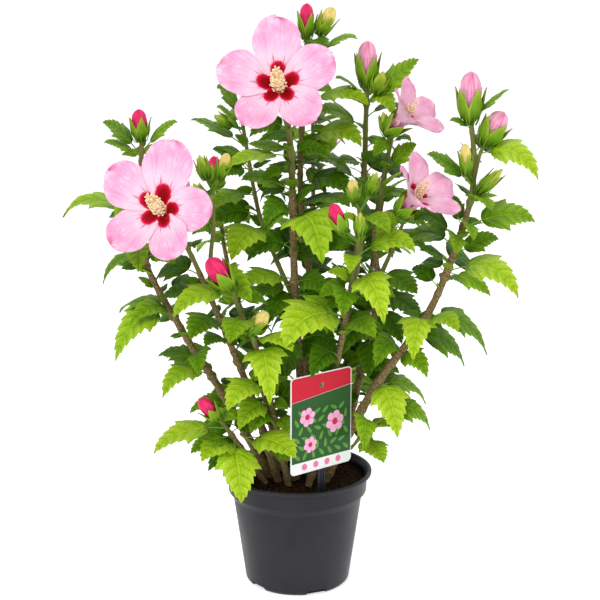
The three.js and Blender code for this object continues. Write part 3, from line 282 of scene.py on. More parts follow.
# large front leaves: stem, height they leave it at, place of the tip, how high their arc stands
# over its chord, turn about the midrib, tone of painted light and shade from 0 (deepest painted shade) to 5 (lime,
# painted as lit)
LEAD_LEAVES = [
    ("left_outer", 428, [-250, -52, 432], 0.5, -8, 4),
    ("left_outer", 386, [-208, -64, 362], 0.6, -2, 2),
    ("left_outer", 322, [-196, -72, 279], 0.62, -14, 4),
    ("left_outer", 324, [-198, -12, 318], 0.4, -7, 3),
    ("left_outer", 262, [-156, -14, 268], 0.32, -14, 2),
    ("left_outer", 250, [-147, -64, 235], 0.6, -8, 4),
    ("left_outer", 497, [-205, -48, 532], 0.25, -24, 2),
    ("left_outer", 498, [-202, -64, 513], 0.12, -22, 3),
    ("left_outer", 500, [-126, -50, 533], 0.2, 22, 3),
    ("low_left", 202, [-155, -92, 181], 0.31, -7, 5),
    ("low_left", 174, [-103, -96, 173], 0.35, -15, 5),
    ("low_left", 188, [-60, -110, 131], 0.25, -8, 5),
    ("shoot_front_left", 188, [-2, -110, 182], 0.25, 15, 5),
    ("front_left", 290, [-29, -112, 241], 0.98, 5, 5),
    ("front_left", 248, [-74, -110, 234], 0.5, -15, 5),
    ("front_left", 226, [-63, -92, 207], 0.5, -20, 4),
    ("centre_fork", 412, [-70, -72, 389], 0.4, -15, 4),
    ("centre", 418, [26, -98, 390], 0.75, 15, 4),
    ("front", 322, [-14, -128, 308], 0.45, -20, 5),
    ("front", 366, [90, -116, 330], 0.83, 15, 5),
    ("front", 396, [121, -112, 405], 0.5, 22, 4),
    ("right_outer", 244, [109, -72, 192], 0.5, 10, 5),
    ("right_outer", 238, [144, -22, 215], 0.5, 12, 3),
    ("shoot_front", 177, [94, -80, 166], 0.2, 4, 4),
    ("right_outer", 316, [123, -84, 282], 0.85, -5, 5),
    ("right_outer", 312, [171, -82, 313], 0.5, 15, 4),
    ("right_outer", 318, [209, -36, 276], 0.5, 20, 2),
    ("right_outer", 292, [187, -14, 257], 0.5, 34, 2),
    ("right_outer", 372, [234, -80, 350], 0.52, 18, 5),
    ("right_outer", 420, [253, -54, 427], 0.28, 30, 3),
    ("right_outer", 496, [252, -68, 475], 0.54, 24, 5),
    ("right_outer", 352, [124, -30, 370], 0.38, -29, 1),
    ("right_outer", 380, [130, -62, 398], 0.25, -29, 1),
    ("centre_fork", 500, [-116, 6, 530], 0.15, -8, 2),
    ("front_left", 356, [-127, -136, 341], 0.5, -12, 4),
    ("left_front", 322, [-112, -110, 312], 0.36, -20, 2),
    ("left_front", 296, [-98, -88, 299], 0.35, -20, 2),
    ("top_fork", 597, [64, 0, 617], 0.3, 16, 3),
    ("right_centre", 546, [131, 8, 595], 0.04, 36, 3),
    ("right_outer", 538, [221, -48, 567], 0.06, 10, 3),
    ("right_outer", 524, [160, -50, 534], 0.26, -27, 2),
    ("right_outer", 388, [215, -52, 408], 0.25, 33, 2),
    ("right", 505, [122, -22, 509], 0.5, 20, 2),
    ("shoot_right", 202, [148, -34, 189], 0.68, 24, 3),
    ("right_outer", 404, [124, -56, 429], 0.5, -31, 1),
    ("centre", 456, [-60, -40, 470], 0.25, -24, 2),
    ("right_centre", 452, [21, 6, 483], 0.4, -24, 2),
    ("right_centre", 516, [23, 0, 538], 0.3, -30, 3),
    ("tall", 500, [69, -15, 503], 0.49, 24, 4),
    ("centre", 494, [-76, -60, 484], 0.24, -8, 4),
    ("centre_fork", 474, [-92, -14, 500], 0.16, -29, 1),
    ("tall", 545, [76, -16, 547], 0.35, 15, 4),
    ("centre", 500, [-53, -22, 507], 0.05, -20, 2),
    ("tall", 496, [32, -22, 490], 0.5, 24, 3),
    ("tall", 458, [59, -12, 448], 0.45, 26, 1),
    ("tall", 434, [56, -34, 440], 0.25, 10, 2),
    ("centre", 450, [-41, -18, 443], 0.66, -24, 1),
    ("centre", 436, [-35, -50, 420], 0.8, -34, 1),
    ("centre_fork", 448, [-97, -30, 433], 0.35, -15, 3),
    ("centre", 358, [-62, -62, 355], 0.3, -15, 4),
    ("centre", 346, [-32, -52, 314], 0.4, -22, 1),
    ("front_left", 306, [-5, -128, 304], 0.35, 8, 5),
    ("front_left", 318, [-71, -122, 321], 0.1, -15, 5),
    ("right_centre", 552, [41, 2, 575], 0.2, -20, 2),
    ("right_centre", 548, [104, -4, 534], 0.76, 24, 4),
    ("right", 513, [82, -24, 493], 0.25, -50, 2),
    ("right", 474, [129, -10, 505], 0.15, 44, 3),
    ("right", 450, [110, -28, 474], 0.3, 15, 4),
    ("right_outer", 466, [136, -56, 500], 0.12, -27, 2),
    ("tall", 600, [-13, 0, 637], -0.06, -24, 2),
    ("centre_fork", 526, [-87, 0, 564], 0.45, -30, 2),
    ("right", 364, [131, -32, 344], 0.1, 26, 2),
    ("right", 340, [136, -25, 317], 0.1, 18, 1),
    ("right_outer", 372, [207, -62, 348], 0.2, 20, 4),
    ("right_outer", 268, [141, -62, 257], 0.7, 27, 3),
    ("front_left", 204, [-10, -72, 192], 0.81, 22, 3),
    ("left_outer", 350, [-172, -50, 366], 0.1, -25, 3),
    ("left_front", 372, [-156, -40, 357], 0.45, -30, 1),
    ("left_outer", 296, [-141, -30, 295], 0.2, -20, 3),
    ("low_left", 190, [-116, -80, 177], 0.2, -20, 3),
    ("right", 398, [140, -24, 390], 0.35, 15, 2),
    ("right_outer", 368, [184, -34, 352], 0.3, -24, 1),
    ("centre_fork", 508, [-87, -12, 545], 0.25, -26, 3),
    ("centre", 500, [-38, -30, 501], 0.2, -24, 2),
    ("centre", 300, [-12, -30, 248], 0.2, -12, 1),
    ("right", 290, [79, -20, 245], 0.25, 10, 1),
    ("centre", 484, [-38, -34, 467], 0.3, -30, 2),
    ("centre_fork", 484, [-85, -4, 498], 0.3, -20, 2),
    ("centre", 440, [-32, -48, 416], 0.5, -20, 2),
    ("centre_fork", 476, [-82, -26, 471], 0.3, -36, 1),
    ("tall", 478, [32, 12, 446], 0.3, 26, 2),
    ("right_centre", 478, [44, 2, 481], 0.3, -26, 2),
    ("right_centre", 508, [94, 12, 497], 0.3, 22, 2),
    ("centre", 352, [-52, -40, 339], 0.25, -22, 2),
    ("left_front", 345, [-148, -60, 341], 0.4, -20, 1),
    ("right", 318, [116, -20, 284], 0.3, 18, 1),
    ("right_outer", 370, [135, -22, 375], 0.4, -20, 1),
    ("right_outer", 418, [165, -44, 455], 0.12, -24, 1),
]


# ---- small helpers
def vec(*numbers):
    return np.array(numbers, float)


def unit(a):
    return a / math.sqrt(float(np.dot(a, a)))


def cross(a, b):
    return vec(a[1] * b[2] - a[2] * b[1], a[2] * b[0] - a[0] * b[2], a[0] * b[1] - a[1] * b[0])


def distance(a, b):
    return float(np.linalg.norm(np.asarray(a, float) - np.asarray(b, float)))


def row_lengths(rows):
    return np.sqrt((rows ** 2).sum(1))


def spokes(way, hint):
    """A function from angles to the directions square to the way that they stand for."""
    guide = unit(cross(way, hint))
    other = cross(way, guide)
    return lambda a: np.multiply.outer(np.cos(a), guide) + np.multiply.outer(np.sin(a), other)


def smooth(low, high, x):
    """0 below low, 1 above high, and an even rise between them."""
    t = np.clip((x - low) / (high - low), 0, 1)
    return t * t * (3 - 2 * t)


def seeded(seed):
    """The same stream of numbers from 0 to 1 as the frame's growth draws."""
    state = seed

    def draw():
        nonlocal state
        state = (state * 1664525 + 1013904223) % 4294967296
        return state / 4294967296
    return draw


# ---- limbs
class Limb:
    """A smooth curve through its places, kept as close stations, with its taper."""

    def __init__(self, places, foot, tip):
        places = np.array(places, float)
        last = len(places) - 1
        count = 12 * last
        points = []
        for step in range(count + 1):
            p = last * (step / count)
            i = min(int(math.floor(p)), last - 1)
            t = p - i
            before = places[i - 1] if i > 0 else 2 * places[0] - places[1]
            after = places[i + 2] if i + 2 <= last else 2 * places[last] - places[last - 1]
            start = 0.5 * (places[i + 1] - before)
            end = 0.5 * (after - places[i])
            cubic = 2 * places[i] - 2 * places[i + 1] + start + end
            square = -3 * places[i] + 3 * places[i + 1] - 2 * start - end
            points.append(places[i] + start * t + square * t * t + cubic * t * t * t)
        self.points = np.array(points)
        steps = row_lengths(self.points[1:] - self.points[:-1])
        self.lengths = np.concatenate([[0], np.cumsum(steps)])
        self.length = float(self.lengths[-1])
        self.foot = foot
        self.tip = tip

    def along(self, at):
        """Place, direction and radius at a distance along the limb."""
        last = len(self.points) - 1
        i = min(1 + int(np.searchsorted(self.lengths[1:], at, side="left")), last)
        share = (at - self.lengths[i - 1]) / (self.lengths[i] - self.lengths[i - 1])
        place = self.points[i - 1] + (self.points[i] - self.points[i - 1]) * share
        radius = self.foot + (self.tip - self.foot) * (at / self.length)
        return place, unit(self.points[i] - self.points[i - 1]), radius

    def stations(self, ats):
        """Places and radii at distances along the limb."""
        spots = [self.along(at) for at in ats]
        return np.array([s[0] for s in spots]), np.array([s[2] for s in spots])

    def reach(self, height):
        """How far along the limb a height is reached."""
        last = len(self.points) - 1
        i = 1
        while i < last and self.points[i][2] < height:
            i += 1
        low, high = self.points[i - 1][2], self.points[i][2]
        share = min(1, max(0, (height - low) / (high - low)))
        return float(self.lengths[i - 1] + share * (self.lengths[i] - self.lengths[i - 1]))


# ---- leaves
class Leaf:
    """A leaf hangs on an arc in one upright plane: root, crown of the arc, tip."""

    def __init__(self, owner, root, bend, tip, turn, lobes, tone=None):
        flat = tip - root
        heading = math.atan2(flat[1], flat[0])
        rails = distance(root, bend) + distance(bend, tip)
        self.owner = owner
        self.root = root
        self.bend = bend
        self.tip = tip
        self.side = vec(-math.sin(heading), math.cos(heading), 0)
        self.turn = math.radians(turn)
        self.lobes = lobes
        self.blade = (2 * distance(root, tip) + rails) / 3 * (1 - PETIOLE_SHARE)
        self.tone = tone

    def centre(self, s):
        """Places on the midrib at shares of the whole arc."""
        s = np.asarray(s, float)[:, None]
        return self.root * (1 - s) ** 2 + self.bend * 2 * s * (1 - s) + self.tip * s * s

    def on(self, across, along, rise):
        """Places on the blade: across and along in shares of it, rise in millimetres."""
        s = PETIOLE_SHARE + (1 - PETIOLE_SHARE) * np.asarray(along, float)
        way = (self.bend - self.root) * (1 - s)[:, None] + (self.tip - self.bend) * s[:, None]
        way /= row_lengths(way)[:, None]
        up = np.cross(way, self.side)
        side = self.side * math.cos(self.turn) + up * math.sin(self.turn)
        face = up * math.cos(self.turn) - self.side * math.sin(self.turn)
        lift = rise + (np.abs(across) * LEAF_FOLD - LEAF_DROOP * across ** 2) * self.blade
        return self.centre(s) + side * (across * self.blade)[:, None] + face * lift[:, None]

    def probes(self):
        """Places, radii, and which of them are on the stalk."""
        stalk = self.centre([0.45 * PETIOLE_SHARE, 0.8 * PETIOLE_SHARE])
        across = BLADE_PROBES[:, 0].copy()
        across[np.abs(across) > 0.3] *= self.lobes
        blade = self.on(across, BLADE_PROBES[:, 1], LEAF_DROOP * across ** 2 * self.blade)
        places = np.concatenate([stalk, blade])
        return places, np.array([1.2] * 2 + [LEAF_MARGIN] * len(blade))


def outward_turn(root, side):
    """The turn that lets a blade's face lean away from the middle of the shrub."""
    out_x = 0.45 * root[0]
    out_y = root[1] - FRONT_SHIFT
    spread = math.sqrt(out_x * out_x + out_y * out_y) + 1
    lean = (out_x * side[0] + out_y * side[1]) / spread
    return -LEAN_OUT * lean * min(1, spread / 30)


def arc_leaf(owner, root, heading, size, lift, droop, shake, lobes):
    """A leaf by the rule: it rises from its root, droops, and leans to the light."""
    h, rise, fall = math.radians(heading), math.radians(lift), math.radians(droop)
    level = vec(math.cos(h), math.sin(h), 0)
    first = level * math.cos(rise) + vec(0, 0, math.sin(rise))
    second = level * math.cos(fall) + vec(0, 0, math.sin(fall))
    bend = root + first * (size * ARC_RISE)
    tip = bend + second * (size * ARC_FALL)
    side = vec(-math.sin(h), math.cos(h), 0)
    return Leaf(owner, root, bend, tip, outward_turn(root, side) + shake, lobes)


# ---- what growth keeps clear of
BALLS_AT_MOST = 20000
SEARCH_REACH = 18    # farther than any two balls that can touch
OWN_SLACK = 2.5      # how much nearer a leaf may come to the limb it grows on


class Taken:
    """Balls that growth keeps clear of, each with its owner."""

    def __init__(self):
        self.places = np.zeros((BALLS_AT_MOST, 3))
        self.radii = np.zeros(BALLS_AT_MOST)
        self.owners = np.zeros(BALLS_AT_MOST, int)
        self.is_limb = np.zeros(BALLS_AT_MOST, bool)
        self.count = 0
        self.names = {}

    def owner(self, name):
        return self.names.setdefault(name, len(self.names))

    def add(self, places, radii, name, is_limb=False):
        end = self.count + len(places)
        self.places[self.count:end] = places
        self.radii[self.count:end] = radii
        self.owners[self.count:end] = self.owner(name)
        self.is_limb[self.count:end] = is_limb
        self.count = end

    def is_clear(self, places, radii, name):
        for p, r in zip(places, radii):
            if not (clear_of_pot_and_card(p, r) and leaves_openings(p, r)):
                return False
        low = places.min(0) - SEARCH_REACH
        high = places.max(0) + SEARCH_REACH
        held = self.places[:self.count]
        near = np.nonzero(((held > low) & (held < high)).all(1))[0]
        if not len(near):
            return True
        room = self.radii[near][None, :] + radii[:, None]
        own = self.is_limb[near] & (self.owners[near] == self.owner(name))
        room = room - OWN_SLACK * own[None, :]
        room[:2, own] = 0
        gap = ((places[:, None, :] - held[near][None, :, :]) ** 2).sum(2)
        return not bool((gap < room * room).any())


EYE = vec(0, -1525, 679)     # where the front is seen from
OPENINGS_AT = -40            # y of the plane of the front stems

# lines of sight that the crown leaves open: x and z where each crosses that plane, and its
# radius
OPENINGS = [
    (-42, 372, 10), (-14, 372, 7), (100, 372, 10), (-112, 322, 8), (-94, 298, 7), (-78, 386, 8),
    (-91, 494, 8), (14, 476, 7), (47, 500, 5), (81, 526, 6), (-29, 449, 6), (-104, 378, 6),
    (-16, 306, 5), (4, 372, 4), (124, 340, 7), (-132, 238, 9), (-104, 468, 8), (128, 272, 8),
    (172, 333, 12), (134, 338, 6), (-91, 513, 7), (102, 145, 6), (-110, 239, 8), (-115, 384, 5),
    (85, 214, 6), (36, 509, 4),
    (-147, 305, 7), (-89, 279, 3), (-72, 258, 3), (41, 389, 2), (60, 164, 8),
]


def open_lines():
    """Each line of sight: the place it crosses, its direction and its radius."""
    made = []
    for x, z, radius in OPENINGS:
        place = vec(x, OPENINGS_AT, z)
        made.append((place, unit(place - EYE), radius))
    return made


OPEN_LINES = open_lines()


def leaves_openings(p, r):
    for place, way, radius in OPEN_LINES:
        off = p - place
        apart = off - way * float(np.dot(off, way))
        if float(np.dot(apart, apart)) < (r + radius) ** 2:
            return False
    return True


CARD_ANGLE = math.radians(CARD_TURN)
CARD_ACROSS = vec(math.cos(CARD_ANGLE), math.sin(CARD_ANGLE), 0)
CARD_OUT = vec(math.sin(CARD_ANGLE), -math.cos(CARD_ANGLE), 0)


def clear_of_pot_and_card(p, r):
    spread = math.sqrt(p[0] * p[0] + p[1] * p[1])
    if p[2] < POT_HEIGHT + 2 + r * 0.5 and spread < LIP_RADIUS + 2 + r * 0.5:
        if not (spread < BODY_TOP_RADIUS - 4 and p[2] > SOIL_TOP + 5):
            return False
    off = p - CARD_CENTRE
    across = abs(float(np.dot(off, CARD_ACROSS)))
    depth = abs(float(np.dot(off, CARD_OUT)))
    beside = across < CARD_WIDTH / 2 + r and abs(off[2]) < CARD_HEIGHT / 2 + r
    if depth < 2.5 + r and beside:
        return False
    return not (off[2] < 0 and across < STAKE_WIDTH / 2 + r and depth < 2 + r)


def bloom_frame(facing, turn):
    """A function from radius, angle and depth to a place relative to the bloom's base."""
    out = unit(np.array(facing, float))
    level = unit(cross(vec(0, 0, 1), out))
    rise = cross(out, level)

    def at(radius, angle, depth):
        a = np.radians(turn + angle)
        radius, depth, a = np.broadcast_arrays(radius, depth, a)
        return (level * (radius * np.cos(a))[..., None] + rise * (radius * np.sin(a))[..., None]
                + out * depth[..., None])
    return at, out


def cup_depth(share, cup):
    """Depth of the petals at a share of the bloom's radius, from the calyx end."""
    return cup * share * (1.6 - 0.6 * share)


def bloom_probes(bloom):
    _, base, facing, radius, cup, turn, _ = bloom
    at, out = bloom_frame(facing, turn)
    base = np.array(base, float)
    places = [base[None, :], (base + out * HEART)[None, :]]
    for share, count in [(0.3, 6), (0.55, 10), (0.8, 14), (1, 18)]:
        ring = at(radius * share, 360 * np.arange(count) / count, cup_depth(share, cup))
        places.append(base + ring)
    places = np.concatenate(places)
    return places, np.array([9.0] * 2 + [6.0] * (len(places) - 2))


def bud_probes(bud):
    base, way, length, radius = np.array(bud[2], float), unit(np.array(bud[3], float)), bud[4], bud[5]
    shares = np.array([0.1, 0.4, 0.75, 1])
    return base + way * (length * shares)[:, None], radius * np.where(shares > 0.7, 0.6, 1)


# ---- growth
class Plant:
    """Limbs and leaves, grown in the frame's order from the frame's seed."""

    def __init__(self):
        self.limbs = {}
        self.leaves = []
        self.taken = Taken()
        self.make_limbs()
        for name, limb in self.limbs.items():
            count = math.ceil(limb.length / 6)
            places, radii = limb.stations([limb.length * i / count for i in range(count + 1)])
            self.taken.add(places, radii - 0.4, name, True)
        for bloom in BLOOMS:
            self.taken.add(*bloom_probes(bloom), bloom[0])
        for bud in BUDS:
            self.taken.add(*bud_probes(bud), bud[0])
        self.add_lead_leaves()
        draw = seeded(SEED)
        for name in self.limbs:
            self.grow_along(name, draw)
        for name, (_, _, _, bare) in STEMS.items():
            self.grow_opposite(name, bare, draw)

    def make_limbs(self):
        limbs = self.limbs
        for name, (places, foot, tip, _) in STEMS.items():
            limbs[name] = Limb(places, foot, tip)
        for name, (parent, height, way) in FORKS.items():
            root, _, radius = limbs[parent].along(limbs[parent].reach(height))
            limbs[name] = Limb([root, *way], min(2.8, radius), 1.8)
        for name, (parent, height, tip) in SHOOTS.items():
            root, _, _ = limbs[parent].along(limbs[parent].reach(height))
            middle = root + (np.array(tip, float) - root) * 0.5
            middle[2] -= 3
            limbs[name] = Limb([root, middle, tip], 2.2, 1.5)

    def add_lead_leaves(self):
        for name, height, tip, arch, turn, tone in LEAD_LEAVES:
            limb = self.limbs[name]
            root = limb.along(limb.reach(height))[0]
            tip = np.array(tip, float)
            bend = root + (tip - root) * LEAD_CREST + vec(0, 0, arch * distance(root, tip))
            self.keep(Leaf(name, root, bend, tip, turn, 1, tone))

    def keep(self, leaf):
        self.leaves.append(leaf)
        self.taken.add(*leaf.probes(), leaf.owner)

    def try_leaf(self, name, at, heading, length, lift, droop, lobes, shake):
        """One leaf by the rule: its heading is tried a little to either side, then smaller."""
        root = self.limbs[name].along(at)[0]
        for scale in [1, 0.82, 0.66]:
            for swing in [0, 28, -28, 56, -56]:
                leaf = arc_leaf(name, root, heading + swing, length * scale, lift, droop, shake,
                                lobes)
                if self.taken.is_clear(*leaf.probes(), name):
                    self.keep(leaf)
                    return

    def grow_along(self, name, draw):
        limb = self.limbs[name]
        is_shoot = name in SHOOTS
        start = 14 if is_shoot else 24
        if name in STEMS:
            start = limb.reach(STEMS[name][3]) + 10
        spacing = 13 if is_shoot else LEAF_SPACING
        heading = draw() * 360
        at = start
        while at < limb.length - 3:
            low = limb.along(at)[0][2] < 300
            young = max(0, at / limb.length - 0.72) * 1.3 if name not in FORKS else 0.22
            length = LEAF_LENGTH * (0.84 + 0.26 * draw()) * (1 - young)
            lift = 28 + 24 * draw()
            droop = (-74 if low else -60) + 26 * draw()
            shake = -12 + 24 * draw()
            lobes = 0.72 + 0.34 * draw() - young * 0.8
            self.try_leaf(name, at, heading, length, lift, droop, lobes, shake)
            heading += LEAF_TURN
            at += spacing

    def grow_opposite(self, name, bare, draw):
        """A second, smaller leaf opposite some of the first."""
        limb = self.limbs[name]
        heading = draw() * 360
        at = limb.reach(bare) + 20
        while at < limb.length - 8:
            length = LEAF_LENGTH * (0.62 + 0.2 * draw())
            lobes = 0.62 + 0.3 * draw()
            droop = -30 - 20 * draw()
            self.try_leaf(name, at, heading, length, 36, droop, lobes, -10 + 20 * draw())
            heading += LEAF_TURN
            at += 1.6 * LEAF_SPACING


# ---- meshes
WELD_DISTANCE = 2e-6     # metres


def link(name, data):
    """Puts a mesh, a light or a camera into the scene."""
    obj = bpy.data.objects.new(name, data)
    bpy.context.scene.collection.objects.link(obj)
    return obj


class Mesh:
    """Collects grids of quads with a map, and joins them into one object."""

    def __init__(self):
        self.places = []
        self.quads = []
        self.maps = []
        self.count = 0

    def grid(self, places, uv, flip=False):
        """A grid of rows x columns of places in millimetres; its map has the same size."""
        quads = grid_quads(*places.shape[:2], flip)
        self.places.append(places.reshape(-1, 3))
        self.quads.append(quads + self.count)
        self.maps.append(uv.reshape(-1, 2)[quads.reshape(-1)])
        self.count += len(self.places[-1])

    def tube(self, rings, uv):
        """Rings of places, rows x sides; the last side joins the first."""
        self.grid(np.concatenate([rings, rings[:, :1]], axis=1), uv, flip=True)

    def make(self, name, material):
        places = np.concatenate(self.places) * MM
        quads = np.concatenate(self.quads)
        uv = np.concatenate(self.maps)
        mesh = bpy.data.meshes.new(name)
        mesh.vertices.add(len(places))
        mesh.vertices.foreach_set("co", places.astype(np.float32).reshape(-1))
        mesh.loops.add(quads.size)
        mesh.loops.foreach_set("vertex_index", quads.astype(np.int32).reshape(-1))
        mesh.polygons.add(len(quads))
        mesh.polygons.foreach_set("loop_start", np.arange(0, quads.size, 4, dtype=np.int32))
        layer = mesh.uv_layers.new(name=UV_NAME)
        mesh.update(calc_edges=True)
        layer.data.foreach_set("uv", uv.astype(np.float32).reshape(-1))
        mesh.polygons.foreach_set("use_smooth", np.ones(len(quads), bool))
        mesh.validate(clean_customdata=False)
        mesh.materials.append(material)
        obj = link(name, mesh)
        weld(mesh)
        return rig.ride(obj, "root")


def weld(mesh):
    """Joins places that coincide, and drops faces with no area."""
    made = bmesh.new()
    made.from_mesh(mesh)
    bmesh.ops.remove_doubles(made, verts=made.verts, dist=WELD_DISTANCE)
    bmesh.ops.dissolve_degenerate(made, dist=WELD_DISTANCE / 20, edges=made.edges)
    made.to_mesh(mesh)
    made.free()


def prisms(name, bodies):
    """Closed bodies in one object, each from a stack of loops of places in millimetres."""
    made = bmesh.new()
    for loops in bodies:
        corners = [[made.verts.new(Vector(place) * MM) for place in loop] for loop in loops]
        count = len(loops[0])
        for low, high in zip(corners, corners[1:]):
            for k in range(count):
                j = (k + 1) % count
                made.faces.new([low[k], low[j], high[j], high[k]])
        made.faces.new(corners[0][::-1])
        made.faces.new(corners[-1])
    bmesh.ops.recalc_face_normals(made, faces=made.faces)
    data = bpy.data.meshes.new(name)
    made.to_mesh(data)
    made.free()
    return link(name, data)


def map_places(obj, to_map):
    """Gives an object its map, worked out from each corner's place in metres."""
    layer = obj.data.uv_layers.new(name=UV_NAME)
    for loop in obj.data.loops:
        layer.data[loop.index].uv = to_map(obj.data.vertices[loop.vertex_index].co)


def cut_away(obj, tool):
    """Takes the tool's volume out of the object, and the tool out of the scene."""
    cut = obj.modifiers.new("cut", "BOOLEAN")
    cut.object = tool
    cut.operation = "DIFFERENCE"
    cut.solver = "EXACT"
    graph = bpy.context.evaluated_depsgraph_get()
    made = bpy.data.meshes.new_from_object(obj.evaluated_get(graph))
    old = obj.data
    obj.modifiers.clear()
    obj.data = made
    bpy.data.meshes.remove(old)
    bpy.data.objects.remove(tool)


def grid_quads(rows, columns, flip=False):
    i, j = np.meshgrid(np.arange(rows - 1), np.arange(columns - 1), indexing="ij")
    a = (i * columns + j).reshape(-1)
    quads = np.stack([a, a + 1, a + columns + 1, a + columns], axis=1)
    return quads[:, ::-1] if flip else quads


def ring_frames(places):
    """Two steady directions across a path at each of its places."""
    ways = np.gradient(places, axis=0)
    ways /= row_lengths(ways)[:, None]
    guide = vec(1, 0, 0) if abs(ways[0][0]) < 0.8 else vec(0, 1, 0)
    firsts = []
    for way in ways:
        guide = unit(guide - way * float(np.dot(guide, way)))
        firsts.append(guide)
    firsts = np.array(firsts)
    return firsts, np.cross(ways, firsts)


def round_rings(places, radii, sides, relief=0.0):
    """Rings about a path; the relief adds to the radius, row by row and side by side."""
    first, second = ring_frames(places)
    angle = 2 * np.pi * np.arange(sides) / sides
    radius = np.asarray(radii, float)[:, None] * np.ones(sides)[None, :] + relief
    return (places[:, None, :] + first[:, None, :] * (radius * np.cos(angle))[..., None]
            + second[:, None, :] * (radius * np.sin(angle))[..., None])


def grid_map(u, v):
    """A map from a row of u and a column of v, or from whole grids of them."""
    return np.stack(np.broadcast_arrays(u, v), axis=2)


def tube_map(sides, lengths, period):
    """A map for a tube: round it in u, and to and fro along it in v every period."""
    v = np.abs(((lengths / period) % 2) - 1) * 0.96 + 0.02
    return grid_map(np.arange(sides + 1)[None, :] / sides, v[:, None])


# ---- materials
def linear(red, green, blue):
    """A colour written as it looks on a screen, 0 to 255, as a shader takes it."""
    made = []
    for part in (red, green, blue):
        c = part / 255
        made.append(c / 12.92 if c <= 0.04045 else ((c + 0.055) / 1.055) ** 2.4)
    return (*made, 1.0)


class Wire:
    """A number or colour inside a material; sums written with it become nodes."""

    def __init__(self, paint, socket):
        self.paint = paint
        self.socket = socket

    def math(self, operation, other=0.0):
        return self.paint.wire("ShaderNodeMath", 0, {0: self, 1: other}, operation=operation)

    def __add__(self, other):
        return self.math("ADD", other)

    def __sub__(self, other):
        return self.math("SUBTRACT", other)

    def __mul__(self, other):
        return self.math("MULTIPLY", other)

    def __truediv__(self, other):
        return self.math("DIVIDE", other)

    def __mod__(self, other):
        return self.math("MODULO", other)

    def __pow__(self, other):
        return self.math("POWER", other)

    def __gt__(self, other):
        return self.math("GREATER_THAN", other)

    def __abs__(self):
        return self.math("ABSOLUTE")

    def __round__(self):
        return self.math("ROUND")

    def ramp(self, low, high, start=0.0, end=1.0):
        """A smooth change from start, at low and below, to end, at high and above."""
        return self.paint.wire("ShaderNodeMapRange", "Result", {
            "Value": self, "From Min": low, "From Max": high, "To Min": start, "To Max": end,
        }, interpolation_type="SMOOTHSTEP")


class Paint:
    """A material with a Principled shader and a few helpers for its nodes."""

    def __init__(self, name, roughness=0.5, specular=0.4):
        self.material = bpy.data.materials.new(name)
        self.material.use_nodes = True
        self.tree = self.material.node_tree
        self.shader = self.tree.nodes["Principled BSDF"]
        self.shader.inputs["Roughness"].default_value = roughness
        self.shader.inputs["Specular IOR Level"].default_value = specular

    def fill(self, socket, value):
        """Gives a socket a plain value, or the wire that leads to it."""
        if isinstance(value, Wire):
            self.tree.links.new(value.socket, socket)
        else:
            socket.default_value = value

    def wire(self, kind, output, inputs, **settings):
        """One output of a new node with these inputs and settings."""
        made = self.tree.nodes.new(kind)
        for key, value in settings.items():
            setattr(made, key, value)
        for key, value in inputs.items():
            self.fill(made.inputs[key], value)
        return Wire(self, made.outputs[output])

    def mix(self, share, a, b):
        """Colour a, with this share of colour b over it."""
        return self.wire("ShaderNodeMix", 2, {0: share, 6: a, 7: b}, data_type="RGBA")

    def uv(self):
        """The map's two numbers."""
        place = self.wire("ShaderNodeUVMap", 0, {}, uv_map=UV_NAME)
        return [self.wire("ShaderNodeSeparateXYZ", k, {0: place}) for k in (0, 1)]

    def place(self, u, v, w=0.0):
        return self.wire("ShaderNodeCombineXYZ", 0, {0: u, 1: v, 2: w})

    def noise(self, u, v, scale, detail=2.0, u_scale=1.0, v_scale=1.0, w=0.0):
        """Noise over the map, stretched by the two scales."""
        return self.wire("ShaderNodeTexNoise", "Fac", {
            "Vector": self.place(u * u_scale, v * v_scale, w), "Scale": scale, "Detail": detail})

    def colour(self, value):
        self.fill(self.shader.inputs["Base Color"], value)

    def rough(self, value):
        self.fill(self.shader.inputs["Roughness"], value)

    def bump(self, height, strength, size):
        self.fill(self.shader.inputs["Normal"], self.wire("ShaderNodeBump", 0, {
            "Height": height, "Strength": strength, "Distance": size}))


# tones of the foliage as painted light and shade, from the deepest painted shade to lime painted as lit:
# each at the stalk end, over the blade, and its lighter colour
LEAF_LIGHT_AND_SHADE_TONES = [
    ((28, 62, 0), (50, 94, 0), (84, 130, 8)),
    ((42, 80, 0), (68, 116, 0), (110, 158, 14)),
    ((56, 100, 0), (92, 140, 2), (138, 180, 24)),
    ((72, 120, 0), (116, 162, 4), (164, 202, 40)),
    ((90, 138, 0), (142, 186, 8), (190, 222, 58)),
    ((108, 154, 0), (166, 204, 12), (208, 234, 74)),
]
VEINS_IN_MAP = 8
HALF_IN_MAP = 0.22       # half a blade's width in its map
MAP_MARGIN = 0.02        # what stays free at either end of the map
MAP_LENGTH = 1 - 2 * MAP_MARGIN


